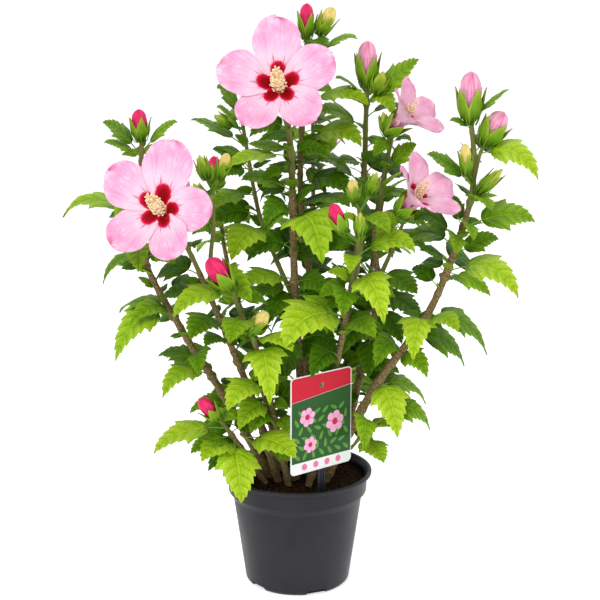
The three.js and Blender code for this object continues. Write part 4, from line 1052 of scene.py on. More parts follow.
def leaf_paint(tone):
    """A leaf's colours by its own map: u from the midrib out, v in steps of one side vein."""
    # the tone picks one copy of the leaf colours, from the darkest painted shade to the lightest painted light
    dark, blade, light = [linear(*c) for c in LEAF_LIGHT_AND_SHADE_TONES[tone]]
    paint = Paint(f"leaf_{tone}", roughness=0.48, specular=0.15)
    u, v = paint.uv()
    out = abs(u % 0.5 - 0.25) / HALF_IN_MAP
    under = u > 0.5
    step = (v - MAP_MARGIN) * (VEINS_IN_MAP / MAP_LENGTH)
    off_vein = abs(step - round(step))
    side_vein = off_vein.ramp(0.02, 0.13, 1, 0) * out.ramp(0.3, 1, 1, 0.3)
    midrib = out.ramp(0.015, 0.06, 1, 0)
    net = paint.noise(u, v, 30, 4, 2.4)
    patches = paint.noise(u, v, 6, 3, 2.4, w=4)
    along = v + (patches - 0.5) * 0.5
    colour = paint.mix(along.ramp(0.1, 0.5), dark, blade)
    colour = paint.mix(out.ramp(0.45, 1, 0, 0.45), colour, light)
    puff = off_vein.ramp(0.08, 0.4) * out.ramp(0.1, 0.5) * along.ramp(0.15, 0.6, 0.1, 0.5)
    colour = paint.mix(puff, colour, light)
    colour = paint.mix(net.ramp(0.48, 0.7, 0, 0.6), colour, light)
    colour = paint.mix(net.ramp(0.28, 0.44, 0.45, 0), colour, dark)
    cells = paint.wire("ShaderNodeTexVoronoi", "Distance", {
        "Vector": paint.place(u * 60, v * 26), "Scale": 1.0,
    }, voronoi_dimensions="2D", feature="DISTANCE_TO_EDGE")
    colour = paint.mix(cells.ramp(0.1, 0.42, 0, 0.4), colour, dark)
    colour = paint.mix(side_vein * 0.3, colour, dark)
    colour = paint.mix(midrib * 0.7, colour, light)
    pale = paint.mix(0.3, colour, linear(124, 160, 50))
    paint.colour(paint.mix(under, colour, pale))
    height = net + side_vein * -0.8 + cells.ramp(0, 0.4, 0, 0.6) + midrib * -0.8
    paint.bump(height, 0.55, 0.0008)
    return paint.material


def petal_paint():
    """A petal by its own map: u across and v out from the bloom's middle, in shares of it."""
    pale, mid, edge = linear(252, 214, 233), linear(243, 172, 208), linear(226, 118, 174)
    paint = Paint("petal", roughness=0.6, specular=0.12)
    u, v = paint.uv()
    outer_side = u > 1.0
    off = u % 1.0 - 0.5
    veins = paint.noise(off / (v + 0.28), v, 46, 2, 1, 0.05)
    clouds = paint.noise(u, v, 4, 3, w=2)
    colour = paint.mix(v.ramp(0.25, 0.8), pale, mid)
    colour = paint.mix(clouds.ramp(0.42, 0.66, 0, 0.7), colour, pale)
    rim = v.ramp(0.72, 1.02) * clouds.ramp(0.36, 0.58, 0.7, 0)
    colour = paint.mix(rim, colour, edge)
    colour = paint.mix(veins.ramp(0.5, 0.68, 0, 0.42), colour, edge)
    outside = paint.mix(v.ramp(0.1, 0.5, 0.55, 0), colour, edge)
    ray_fan = off / (v + 0.02)
    rays = paint.noise(ray_fan, v, 15, 2, 1, 0.02, 7)
    ray_reach = rays.ramp(0.42, 0.7) * 0.16 + 0.33
    in_fan = abs(ray_fan).ramp(0.34, 0.5, 1, 0)
    streak = (v - ray_reach).ramp(-0.1, 0.02, 1, 0) * in_fan
    colour = paint.mix(streak * 0.8, colour, linear(186, 30, 112))
    spot = (abs(off) / 0.135) ** 2 + abs((v - 0.215) / 0.165) ** 2
    far = spot.math("SQRT") + (rays - 0.5) * 0.5
    colour = paint.mix(far.ramp(0.84, 1.06, 1, 0), colour, linear(214, 2, 62))
    colour = paint.mix(far.ramp(0.4, 0.88, 1, 0), colour, linear(146, 0, 8))
    colour = paint.mix(v.ramp(0.05, 0.1, 1, 0), colour, linear(244, 214, 170))
    paint.colour(paint.mix(outer_side, colour, outside))
    paint.bump(veins, 0.35, 0.0007)
    paint.shader.inputs["Subsurface Weight"].default_value = 0.1
    paint.shader.inputs["Subsurface Radius"].default_value = (0.004, 0.002, 0.002)
    return paint.material


def streaked_paint(name, base, streak, roughness=0.55, scale=24.0, amount=0.6):
    """Lengthwise streaks over a plain colour: buds, stalks, threads, anthers, twigs."""
    paint = Paint(name, roughness=roughness, specular=0.3)
    u, v = paint.uv()
    lines = paint.noise(u, v, scale, 3, 1, 0.08)
    clouds = paint.noise(u, v, 4, 2, w=3)
    colour = paint.mix(lines.ramp(0.4, 0.68, 0, amount), base, streak)
    paint.colour(paint.mix(clouds.ramp(0.45, 0.75, 0, amount * 0.5), colour, streak))
    paint.bump(lines, 0.3, 0.0004)
    return paint.material


def sepal_paint():
    """Green, yellower to the tips and edges."""
    paint = Paint("sepal", roughness=0.55, specular=0.2)
    u, v = paint.uv()
    lines = paint.noise(u, v, 22, 2, 1, 0.1)
    rim = v.ramp(0.55, 1).math("MAXIMUM", abs(u - 0.5).ramp(0.3, 0.5, 0, 0.8))
    colour = paint.mix(v.ramp(0, 0.6), linear(62, 106, 4), linear(112, 156, 18))
    colour = paint.mix(rim * 0.75, colour, linear(172, 190, 56))
    paint.colour(paint.mix(lines.ramp(0.5, 0.7, 0, 0.35), colour, linear(54, 94, 6)))
    paint.bump(lines, 0.3, 0.0005)
    return paint.material


def bark_paint():
    """Grey-brown bark with pale pores and darker furrows."""
    paint = Paint("bark", roughness=0.86, specular=0.2)
    u, v = paint.uv()
    grain = paint.noise(u, v, 9, 5, 1.6, 3)
    furrows = paint.noise(u, v, 16, 4, 1.5, w=5)
    pores = paint.wire("ShaderNodeTexVoronoi", "Distance", {
        "Vector": paint.place(u * 7, v * 26), "Scale": 1.0})
    colour = paint.mix(grain.ramp(0.35, 0.7), linear(106, 88, 54), linear(162, 138, 96))
    colour = paint.mix(furrows.ramp(0.5, 0.68, 0, 0.55), colour, linear(78, 62, 40))
    paint.colour(paint.mix(pores.ramp(0.1, 0.2, 0.7, 0), colour, linear(186, 164, 126)))
    paint.bump(grain - furrows * 0.6, 0.4, 0.0010)
    return paint.material


def pot_paint():
    """Satin anthracite plastic with a faint grain of moulding and handling."""
    paint = Paint("pot_plastic", specular=0.24)
    u, v = paint.uv()
    clouds = paint.noise(u, v, 6, 3, 2)
    paint.colour(paint.mix(clouds.ramp(0.3, 0.7), linear(30, 30, 36), linear(39, 39, 46)))
    paint.rough(clouds.ramp(0.3, 0.7, 0.36, 0.48))
    paint.bump(paint.noise(u, v, 220, 2, 2, w=2), 0.12, 0.0004)
    return paint.material


def soil_paint(name, dark, light):
    paint = Paint(name, roughness=0.95, specular=0.15)
    u, v = paint.uv()
    coarse = paint.noise(u, v, 60, 4)
    paint.colour(paint.mix(coarse.ramp(0.35, 0.7), dark, light))
    paint.bump(coarse, 0.6, 0.002)
    return paint.material


def print_paint(name, colour):
    """Printed card: a plain ink with a very slight mottle under a gloss."""
    paint = Paint(name, roughness=0.32, specular=0.25)
    u, v = paint.uv()
    darker = tuple(part * 0.92 for part in colour[:3]) + (1.0,)
    paint.colour(paint.mix(paint.noise(u, v, 90).ramp(0.4, 0.7, 0, 0.5), colour, darker))
    return paint.material


# ---- the fine leaf
# half outline from the stalk to the tip: share of the blade sideways and along, and the
# number of the side vein it ends (a whole number at a tooth, a half one in a notch)
LEAF_OUTLINE = np.array([
    [0.020, 0.000, 0.0], [0.115, 0.010, 0.3], [0.215, 0.046, 0.7], [0.286, 0.114, 1.0],
    [0.288, 0.144, 1.5], [0.334, 0.192, 1.8], [0.362, 0.256, 2.0], [0.350, 0.276, 2.5],
    [0.386, 0.336, 2.8], [0.420, 0.416, 3.0], [0.340, 0.404, 3.3], [0.272, 0.414, 3.5],
    [0.284, 0.470, 3.8], [0.292, 0.540, 4.0], [0.240, 0.534, 4.5], [0.243, 0.602, 4.8],
    [0.234, 0.676, 5.0], [0.185, 0.664, 5.5], [0.181, 0.726, 5.8], [0.168, 0.796, 6.0],
    [0.126, 0.784, 6.5], [0.112, 0.844, 6.8], [0.097, 0.899, 7.0], [0.063, 0.894, 7.5],
    [0.041, 0.946, 7.8], [0.000, 1.000, 8.0]])
LEAF_COLUMNS = np.array([0, 0.1, 0.28, 0.5, 0.72, 0.9, 1])
LEAF_THICK = 0.5
QUILT = 0.010      # height of the blade's puffs between its veins, in shares of its length


def leaf_pattern(outline, columns, puff=1.0):
    """Grids over a whole blade: across, along, rise in shares of it, and the map."""
    side_x, side_y, vein = outline.T
    anchor = np.maximum.accumulate(np.maximum(0, side_y - 0.82 * side_x) + vein * 1e-3)
    anchor[-1] = 1.0
    bow = 0.06 * np.sin(np.pi * columns)[None, :] * side_x[:, None]
    off_vein = np.abs(vein - np.round(vein))
    hill = np.sin(np.pi * columns ** 0.8)[None, :]
    rise = QUILT * puff * (off_vein * 2 - 0.4)[:, None] * hill * np.minimum(1, side_x / 0.12)[:, None]
    spread = columns[None, :] * np.ones(len(vein))[:, None]

    def both(half, left=1):
        """The right half of the blade and its mirror image."""
        return np.concatenate([left * half[:, :0:-1], half], axis=1)

    v = MAP_MARGIN + MAP_LENGTH * vein / VEINS_IN_MAP
    return {
        "across": both(side_x[:, None] * columns[None, :] + bow * 0.5, -1),
        "along": both(anchor[:, None] * (1 - columns) + side_y[:, None] * columns - bow),
        "rise": both(rise - 0.012 * puff * (columns[None, :] < 0.02)),
        "edge": both(spread),
        "u": both(HALF_IN_MAP * spread, -1),
        "v": v[:, None] * np.ones(2 * len(columns) - 1)[None, :],
    }


FINE_LEAF = leaf_pattern(LEAF_OUTLINE, LEAF_COLUMNS)
# small young leaves: hardly lobed, so every other place of the outline is enough
YOUNG_OUTLINE = LEAF_OUTLINE[[0, 2, 3, 4, 6, 7, 9, 11, 13, 14, 16, 17, 19, 20, 22, 25]]
YOUNG_LEAF = leaf_pattern(YOUNG_OUTLINE, np.array([0, 0.3, 0.7, 1]), 0.7)


def add_leaf(mesh, leaf, pattern, rng):
    """One blade with its upper and its under side."""
    across = pattern["across"].copy()
    wide = np.clip((np.abs(across) - 0.2) / 0.24, 0, 1)
    across *= 1 + (leaf.lobes - 1) * wide
    along = pattern["along"]
    wave = rng.uniform(0.5, 1.5) * 0.007 * np.sin(along * rng.uniform(14, 22) + rng.uniform(0, 6.28)
                                                   + np.sign(across) * rng.uniform(0, 3))
    rise = (pattern["rise"] + wave * pattern["edge"] ** 2) * leaf.blade
    shape = across.shape
    for under in (0, 1):
        thick = LEAF_THICK * (0.5 - under) * (1 - 0.9 * pattern["edge"] ** 4)
        places = leaf.on(across.reshape(-1), along.reshape(-1), (rise + thick).reshape(-1))
        uv = grid_map(0.25 + 0.5 * under + pattern["u"], pattern["v"])
        mesh.grid(places.reshape(*shape, 3), uv, flip=bool(1 - under))


def add_petiole(mesh, leaf):
    """The stalk: swollen where it leaves the stem, thinner, then running into the midrib."""
    shares = np.array([-0.02, 0.06, 0.2, 0.45, 0.7, 0.9, 1.0, 1.25]) * PETIOLE_SHARE
    places = leaf.centre(shares)
    size = 0.55 + 0.45 * min(1, leaf.blade / 60)
    radii = PETIOLE_RADIUS * size * np.array([1.5, 1.25, 0.9, 0.8, 0.8, 0.85, 0.8, 0.35])
    lengths = shares * leaf.blade
    mesh.tube(round_rings(places, radii, 6), tube_map(6, lengths, STALK_PERIOD))


# ---- twigs in a crown
BACK_SPACING = 7     # along the stems that show from behind


def young_leaves(plant, rng):
    """Small leaves in the axils and at the tips, which keep clear of what has grown."""
    made = []
    for leaf in list(plant.leaves):
        for _ in range(2):
            heading = math.degrees(math.atan2(leaf.side[1], leaf.side[0])) - 90
            heading += rng.uniform(30, 120) * rng.choice([-1, 1])
            size = rng.uniform(20, 38)
            lift, droop = rng.uniform(35, 62), rng.uniform(-35, 25)
            made.append((leaf.owner, leaf.root, heading, size, lift, droop))
    for name, limb in plant.limbs.items():
        at = 0.3 * limb.length
        while at < limb.length:
            root = limb.along(at)[0]
            if root[1] > 0:
                heading = math.degrees(math.atan2(root[1], root[0])) + rng.uniform(-75, 75)
                lift, droop = rng.uniform(25, 60), rng.uniform(-60, -5)
                made.append((name, root, heading, rng.uniform(42, 70), lift, droop))
            at += BACK_SPACING
        turn = rng.uniform(0, 360)
        for i in range(5):
            at = limb.length - rng.uniform(1, 14)
            size = rng.uniform(18, 40)
            lift, droop = rng.uniform(40, 70), rng.uniform(-20, 35)
            made.append((name, limb.along(at)[0], turn + i * LEAF_TURN, size, lift, droop))
    kept = []
    for name, root, heading, size, lift, droop in made:
        leaf = arc_leaf(name, root, heading, size, lift, droop, rng.uniform(-20, 20),
                        rng.uniform(0.5, 0.8))
        places, radii = leaf.probes()
        radii = np.minimum(radii, 1.6)
        if plant.taken.is_clear(places, radii, name):
            kept.append(leaf)
            plant.taken.add(places, radii, name)
    return kept


def painted_light_and_random_tone(leaf, rng):
    """Tone by place, as painted light and shade: lime painted as lit at the low front, fresh outside, painted shade
    deep inside and behind, plus a random spread.
    """
    if leaf.tone is not None:
        return leaf.tone
    tip = leaf.on(vec(0, 0), vec(0.5, 1.0), vec(0, 0))[0]
    # painted light and shade: a leaf counts as lit the farther out and the more to the front its tip stands, more so
    # low down; inside and behind it takes painted shade
    outward = math.hypot(tip[0] * 0.75, tip[1] * 1.25)
    front = smooth(-10, -110, tip[1])
    score = 0.7 + 1.5 * smooth(50, 190, outward) + 1.1 * front
    score += 0.9 * smooth(330, 160, tip[2]) * smooth(40, 120, outward)
    score += rng.uniform(-0.8, 0.8)
    return int(np.clip(round(float(score)), 0, 4))


# ---- stems
BARK_STEP = 2.6      # between two rings of a stem


def bark_relief(rng, lengths, sides, radius):
    """Furrows along the bark and a little unevenness, in millimetres."""
    angle = 2 * np.pi * np.arange(sides) / sides
    relief = np.zeros((len(lengths), sides))
    for _ in range(7):
        turns = rng.integers(1, 5)
        pace = rng.uniform(0.02, 0.28)
        phase = rng.uniform(0, 6.28)
        size = rng.uniform(0.010, 0.026)
        relief += size * np.sin(turns * angle[None, :] + pace * lengths[:, None] + phase)
    relief += rng.normal(0, 0.018, relief.shape)
    return relief * radius[:, None]


def add_limb(mesh, limb, start, end, knots, rng, sides=12, swell=0.2):
    """A stem with bark relief and a swelling at each knot; returns its radii."""
    count = max(4, int((end - start) / BARK_STEP))
    ats = np.linspace(start, end, count + 1)
    places, radii = limb.stations(ats)
    for knot in knots:
        radii = radii * (1 + swell * np.exp(-((ats - knot + 1.0) / 3.0) ** 2))
    relief = bark_relief(rng, ats, sides, radii)
    mesh.tube(round_rings(places, radii, sides, relief), tube_map(sides, ats, 60))
    return radii


# ---- blooms
# how far each petal of the two large blooms is turned from an even fifth
PETAL_SWAY = {0: [0, -2, 3, 3, -6], 1: [-2, 1, -3, 3, 0]}
PETAL_ROWS = 30
PETAL_COLUMNS = 25
WIDEST = 0.6         # where a petal is widest, in shares of its length
ROUND_FROM = 0.62    # the share of its rows that lead up to there
COLUMN_LENGTH = 36   # the staminal column of the largest bloom, and how far its end rises
COLUMN_RISE = 7
ANTHER_COUNT = 120
STIGMA_COUNT = 5
BRACT_COUNT = 8
STALK_ROWS = 9
STALK_SIDES = 8
STALK_PERIOD = 40    # how much of a stalk's length one turn of its map covers


def petal_places(at, radius, cup, angle, reach, rng, half_width, claw_width):
    """One egg-shaped petal: narrow claw, round wavy rim, one edge under its neighbour."""
    t = np.linspace(0, 1, PETAL_ROWS)[:, None]
    u = np.linspace(-1, 1, PETAL_COLUMNS)[None, :]
    grow = np.minimum(t / ROUND_FROM, 1)
    turn = np.clip((t - ROUND_FROM) / (1 - ROUND_FROM), 0, 0.99) * np.pi / 2
    v = grow * WIDEST + (1 - WIDEST) * np.sin(turn)
    width = (claw_width + (1 - claw_width) * np.sin(grow * np.pi / 2) ** 1.25) * np.cos(turn) ** 0.9
    length = radius * reach
    phase = rng.uniform(0, 6.28, 3)
    ragged = np.sin(u * 5 + phase[0]) + 0.6 * np.sin(u * 11 + phase[1])
    side = u * width * half_width * length * (1 + 0.025 * np.sin(v * 13 + phase[2]) * u)
    out = v * length * (1 + 0.012 * ragged * smooth(0.75, 1, v))
    flat = np.hypot(side, out)
    theta = np.degrees(np.arctan2(side, out))
    share = flat / radius
    depth = cup_depth(np.minimum(share, 1), cup) + 0.3 * cup * np.maximum(share - 1, 0)
    depth = depth + 1.4 * u * smooth(0.12, 0.5, v)
    depth = depth + rng.uniform(-0.5, 0.9) * 0.06 * radius * smooth(0.5, 1, v) * u ** 2
    for _ in range(3):
        turns, start = rng.uniform(2.5, 7), rng.uniform(0, 6.28)
        depth = depth + 0.016 * radius * np.sin(turns * u + start) * smooth(0.45, 1, v)
    depth = depth - 0.9 * np.exp(-(u / 0.12) ** 2) * smooth(0.1, 0.4, v) * (1 - smooth(0.6, 1, v))
    ribs = 0.22 * np.sin(u * width * 46) * smooth(0.15, 0.4, v) * (1 - 0.6 * smooth(0.8, 1, v))
    claw = smooth(0.16, 0.0, v) * 7
    return at(flat + 2.2 * smooth(0.1, 0, v), angle + theta, depth + ribs - claw), \
        0.5 + side / length, v + 0 * u


def add_bloom(parts, index, bloom, limb, rng):
    """Petals, staminal column with anthers and stigmas, calyx, epicalyx and stalk."""
    _, base, facing, radius, cup, turn, reaches = bloom
    at, out = bloom_frame(facing, turn)
    base = np.array(base, float)
    sways = PETAL_SWAY.get(index, [0, 3, -2, 2, -3])
    deep = cup > 0.7 * radius
    half_width = 0.42 if deep else 0.38
    claw_width = 0.36 if deep else 0.17
    for i in range(PETAL_COUNT):
        angle = 72 * i + sways[i]
        places, u, v = petal_places(at, radius, cup, angle, reaches[i], rng, half_width, claw_width)
        for under in (0, 1):
            shift = base + out * (0.18 - 0.36 * under)
            parts["petals"].grid(places + shift, grid_map(u + under, v), flip=bool(under))
    add_column(parts, base, out, rng, 0.62 + 0.38 * min(1, radius / 60))
    back = base - out * HEART
    add_calyx(parts, back, out, HEART + (12 if deep else 7), 11 if deep else 9.5, rng, open_by=0.5)
    stem_end = limb.along(limb.length - 1)[0]
    add_stalk(parts["stalks"], [stem_end, back - out * 1.0, back + out * 3], 2.0, 2.3)


def add_stalk(mesh, places, radius, end_radius):
    path = Limb(places, radius, end_radius)
    ats = np.linspace(0, path.length, STALK_ROWS)
    rings = round_rings(*path.stations(ats), STALK_SIDES)
    mesh.tube(rings, tube_map(STALK_SIDES, ats, STALK_PERIOD))


def add_ball(mesh, centre, way, length, radius, sides=6, rows=5):
    """A small closed spindle."""
    t = np.linspace(0, 1, rows)
    radii = radius * np.sin(np.pi * np.clip(t, 0.04, 0.96))
    places = centre + np.outer((t - 0.5) * length, way)
    mesh.tube(round_rings(places, radii, sides), tube_map(sides, t * length, 10))


def add_column(parts, base, out, rng, size):
    """The tapering column: anthers on short threads all round it, five stigmas at its end."""
    length = COLUMN_LENGTH * size
    lean = vec(0, 0, COLUMN_RISE * size)
    t = np.linspace(0, 1, 14)
    places = base + np.outer(t * length, out) + np.outer(t ** 1.6, lean)
    radii = size * (2.9 - 1.5 * t)
    parts["threads"].tube(round_rings(places, radii, 10), tube_map(10, t * length, STALK_PERIOD))
    spoke_at = spokes(out, vec(0.3, 0.2, 1))
    for i in range(ANTHER_COUNT):
        t = 0.16 + 0.7 * (i / (ANTHER_COUNT - 1)) ** 0.85
        spoke = spoke_at(math.radians(i * LEAF_TURN))
        root = base + out * (t * length) + lean * t ** 1.6 + spoke * 1.6
        reach = size * rng.uniform(4.0, 7.6) * (1.12 - 0.5 * t)
        way = unit(spoke + out * rng.uniform(0.0, 0.8))
        tip = root + way * reach
        add_stalk(parts["threads"], [root, (root + tip) / 2 + out * 0.3, tip], 0.26, 0.22)
        add_ball(parts["anthers"], tip, unit(cross(way, out) + spoke * 0.2), 2.7 * size, 1.15 * size)
    for i in range(STIGMA_COUNT):
        spoke = spoke_at(math.radians(i * 360 / STIGMA_COUNT + 20))
        root = places[-1] - out * 1.5
        tip = root + out * 5.4 * size + spoke * 3.4 * size
        add_stalk(parts["threads"], [root, root + out * 3.4 * size + spoke * 0.8, tip], 0.5, 0.45)
        add_ball(parts["anthers"], tip, unit(out + spoke), 2.2, 1.2)


def add_calyx(parts, base, way, length, radius, rng, open_by=0.0, foot=0.2, bracts=0.54):
    """Five pointed sepals on a cup, over a whorl of narrow bracts."""
    spoke_at = spokes(way, vec(0.21, 0.35, 0.91))
    rows, columns = 16, 9
    v = np.linspace(0, 1, rows)[:, None]
    u = np.linspace(-1, 1, columns)[None, :]
    free = np.clip((v - 0.4) / 0.6, 0, 1)
    for i in range(PETAL_COUNT):
        angle = 2 * np.pi * i / PETAL_COUNT + rng.uniform(-0.08, 0.08)
        half = np.pi / PETAL_COUNT * 1.1 * (1 - free ** 1.15)
        long = length * rng.uniform(0.94, 1.08)
        swell = np.sin(np.pi / 2 * np.clip(foot + 1.7 * v, 0, 1))
        r = radius * (swell - (0.16 - 0.75 * open_by) * free ** 1.5) + 0.3
        r = r + 0.5 * np.cos(u * np.pi / 2) * smooth(0.1, 0.5, v) + 1.2 * free ** 3
        lean = spoke_at(angle + u * half) * r[..., None]
        places = base + lean + way * (v * long + 0 * u)[..., None]
        for under in (0, 1):
            moved = places - lean / (r[..., None] + 1e-6) * 0.5 * under
            parts["sepals"].grid(moved, grid_map(0.5 + 0.5 * u, v), flip=bool(1 - under))
    for i in range(BRACT_COUNT):
        spoke = spoke_at(2 * np.pi * (i + rng.uniform(-0.15, 0.15)) / BRACT_COUNT)
        reach = length * bracts * rng.uniform(0.78, 1.22)
        t = np.linspace(0, 1, 8)
        places = base + way * 0.5 + np.outer(t * reach, way) \
            + np.outer(radius * (0.5 + 0.66 * t ** 0.55 + 0.08 * t ** 3), spoke)
        add_strip(parts["sepals"], places, cross(way, spoke), 1.3 * (1 - t) ** 0.6 + 0.1, 0.6)


def add_strip(mesh, places, side, widths, thick):
    """A narrow pointed blade along a path, with a rounded back."""
    side = unit(side)
    rings = []
    ways = np.gradient(places, axis=0)
    for place, way, width in zip(places, ways, widths):
        up = unit(cross(side, way))
        rings.append([place + side * width, place + up * thick * min(1, width), place - side * width,
                      place - up * thick * 0.4 * min(1, width)])
    t = np.linspace(0, 1, len(places))
    mesh.tube(np.array(rings), grid_map(np.linspace(0, 1, 5)[None, :], t[:, None]))


# ---- buds
def add_bud(parts, bud, limb, rng):
    """Furled petals in a twist, in a calyx with bracts, on a short stalk."""
    _, height, base, way, length, radius, kind = bud
    base = np.array(base, float)
    way = unit(np.array(way, float))
    root = limb.along(limb.reach(height))[0]
    if distance(root, base) > 3:
        add_stalk(parts["stalks"], [root, (root + base) / 2, base + way * 2], 1.6, 2.0)
    closed = kind == "green"
    cup = length * (0.95 if closed else 0.88)
    add_calyx(parts, base - way * length * (0.08 if closed else 0.18), way, cup, radius * 1.12, rng,
              0.0 if closed else 0.45, 0.1, 0.54 if closed else 0.8)
    rows, sides = 26, 30
    t = np.linspace(0, 1, rows) ** 0.85
    swell = np.interp(t, [0, 0.2, 0.45, 0.65, 0.78, 0.88, 0.96, 1],
                      [0.3, 0.7, 0.92, 0.93, 0.84, 0.68, 0.4, 0.04] if not closed else
                      [0.35, 0.84, 0.92, 0.74, 0.56, 0.36, 0.16, 0.02])
    angle = 2 * np.pi * np.arange(sides) / sides
    twist = 2.2 * t[:, None]
    furl = np.mod(5 * (angle[None, :] + twist) / (2 * np.pi), 1)
    relief = radius * 0.18 * (furl ** 2 - 0.4) * smooth(0.1, 0.35, t)[:, None] \
        * (1 - 0.6 * t[:, None])
    places = base + np.outer(t * length, way)
    rings = round_rings(places, radius * swell, sides, relief)
    parts[f"bud_{kind}"].tube(rings, tube_map(sides, t * length, length * 1.01))


# ---- pot, soil and label
def lathe(profile, sides, name, material):
    """A turned body from rows of radius and height, with a map round it and along it."""
    mesh = Mesh()
    profile = np.array(profile, float)
    angle = 2 * np.pi * np.arange(sides + 1) / sides
    places = np.stack(np.broadcast_arrays(profile[:, :1] * np.cos(angle)[None, :],
                                          profile[:, :1] * np.sin(angle)[None, :],
                                          profile[:, 1:2] + 0 * angle[None, :]), axis=2)
    run = np.concatenate([[0], np.cumsum(row_lengths(profile[1:] - profile[:-1]))])
    mesh.grid(places, grid_map(np.arange(sides + 1)[None, :] / sides, (run / run[-1])[:, None]))
    return mesh.make(name, material)


def rounded(points, radius, steps=4):
    """A profile whose inner corners are rounded."""
    points = [np.array(p, float) for p in points]
    made = [points[0]]
    for before, here, after in zip(points, points[1:], points[2:]):
        back, ahead = before - here, after - here
        cut = min(radius, np.linalg.norm(back) * 0.45, np.linalg.norm(ahead) * 0.45)
        start = here + back / np.linalg.norm(back) * cut
        end = here + ahead / np.linalg.norm(ahead) * cut
        for t in np.linspace(0, 1, steps + 1):
            made.append((1 - t) ** 2 * start + 2 * t * (1 - t) * here + t * t * end)
    made.append(points[-1])
    return made


def notch_cutter(angle):
    """What one notch takes out of the pot's foot: its ends lean in at the top."""
    way = vec(math.cos(angle), math.sin(angle), 0)
    side = vec(-way[1], way[0], 0)
    half = NOTCH_WIDTH / 2
    outline = [(-half, -1), (half, -1), (half, 2.5), (0.8 * half, NOTCH_HEIGHT),
               (-0.8 * half, NOTCH_HEIGHT), (-half, 2.5)]
    return [[way * reach + side * s + vec(0, 0, z) for s, z in outline]
            for reach in (BASE_RADIUS - 7, BASE_RADIUS + 7)]


def make_pot():
    """The nursery pot: turned lip, band with its step, tapered body, notches at the foot."""
    corners = [
        (0, 0), (BASE_RADIUS - 3, 0), (BASE_RADIUS, 3), (BODY_TOP_RADIUS - 2, STEP_HEIGHT),
        (BODY_TOP_RADIUS, BAND_BOTTOM), (BAND_RADIUS - 0.6, BAND_BOTTOM),
        (BAND_RADIUS, POT_HEIGHT - LIP_HEIGHT), (LIP_RADIUS, POT_HEIGHT - LIP_HEIGHT),
        (LIP_RADIUS, POT_HEIGHT), (LIP_RADIUS - 4, POT_HEIGHT),
        (BAND_RADIUS - POT_WALL, POT_HEIGHT - 6), (BAND_RADIUS - POT_WALL - 0.6, BAND_BOTTOM + 2),
        (BODY_TOP_RADIUS - POT_WALL - 2, STEP_HEIGHT), (BASE_RADIUS - POT_WALL, POT_FLOOR),
        (0, POT_FLOOR)]
    pot = lathe(rounded(corners, 1.3), 160, "pot_shell", pot_paint())
    turns = [math.radians(-90 + NOTCH_FIRST + 360 * i / NOTCH_COUNT) for i in range(NOTCH_COUNT)]
    cut_away(pot, prisms("notches", [notch_cutter(turn) for turn in turns]))
    set_sharp(pot, 35)
    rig.replaces(pot, "pot")
    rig.slot(pot, "pot_plastic")


def set_sharp(obj, degrees):
    """Edges steeper than this stay crisp."""
    made = bmesh.new()
    made.from_mesh(obj.data)
    for face in made.faces:
        face.smooth = True
    for edge in made.edges:
        if len(edge.link_faces) == 2:
            edge.smooth = edge.calc_face_angle(0) < math.radians(degrees)
    made.to_mesh(obj.data)
    made.free()


CRUMB_COUNT = 2600
FIBRE_COUNT = 90


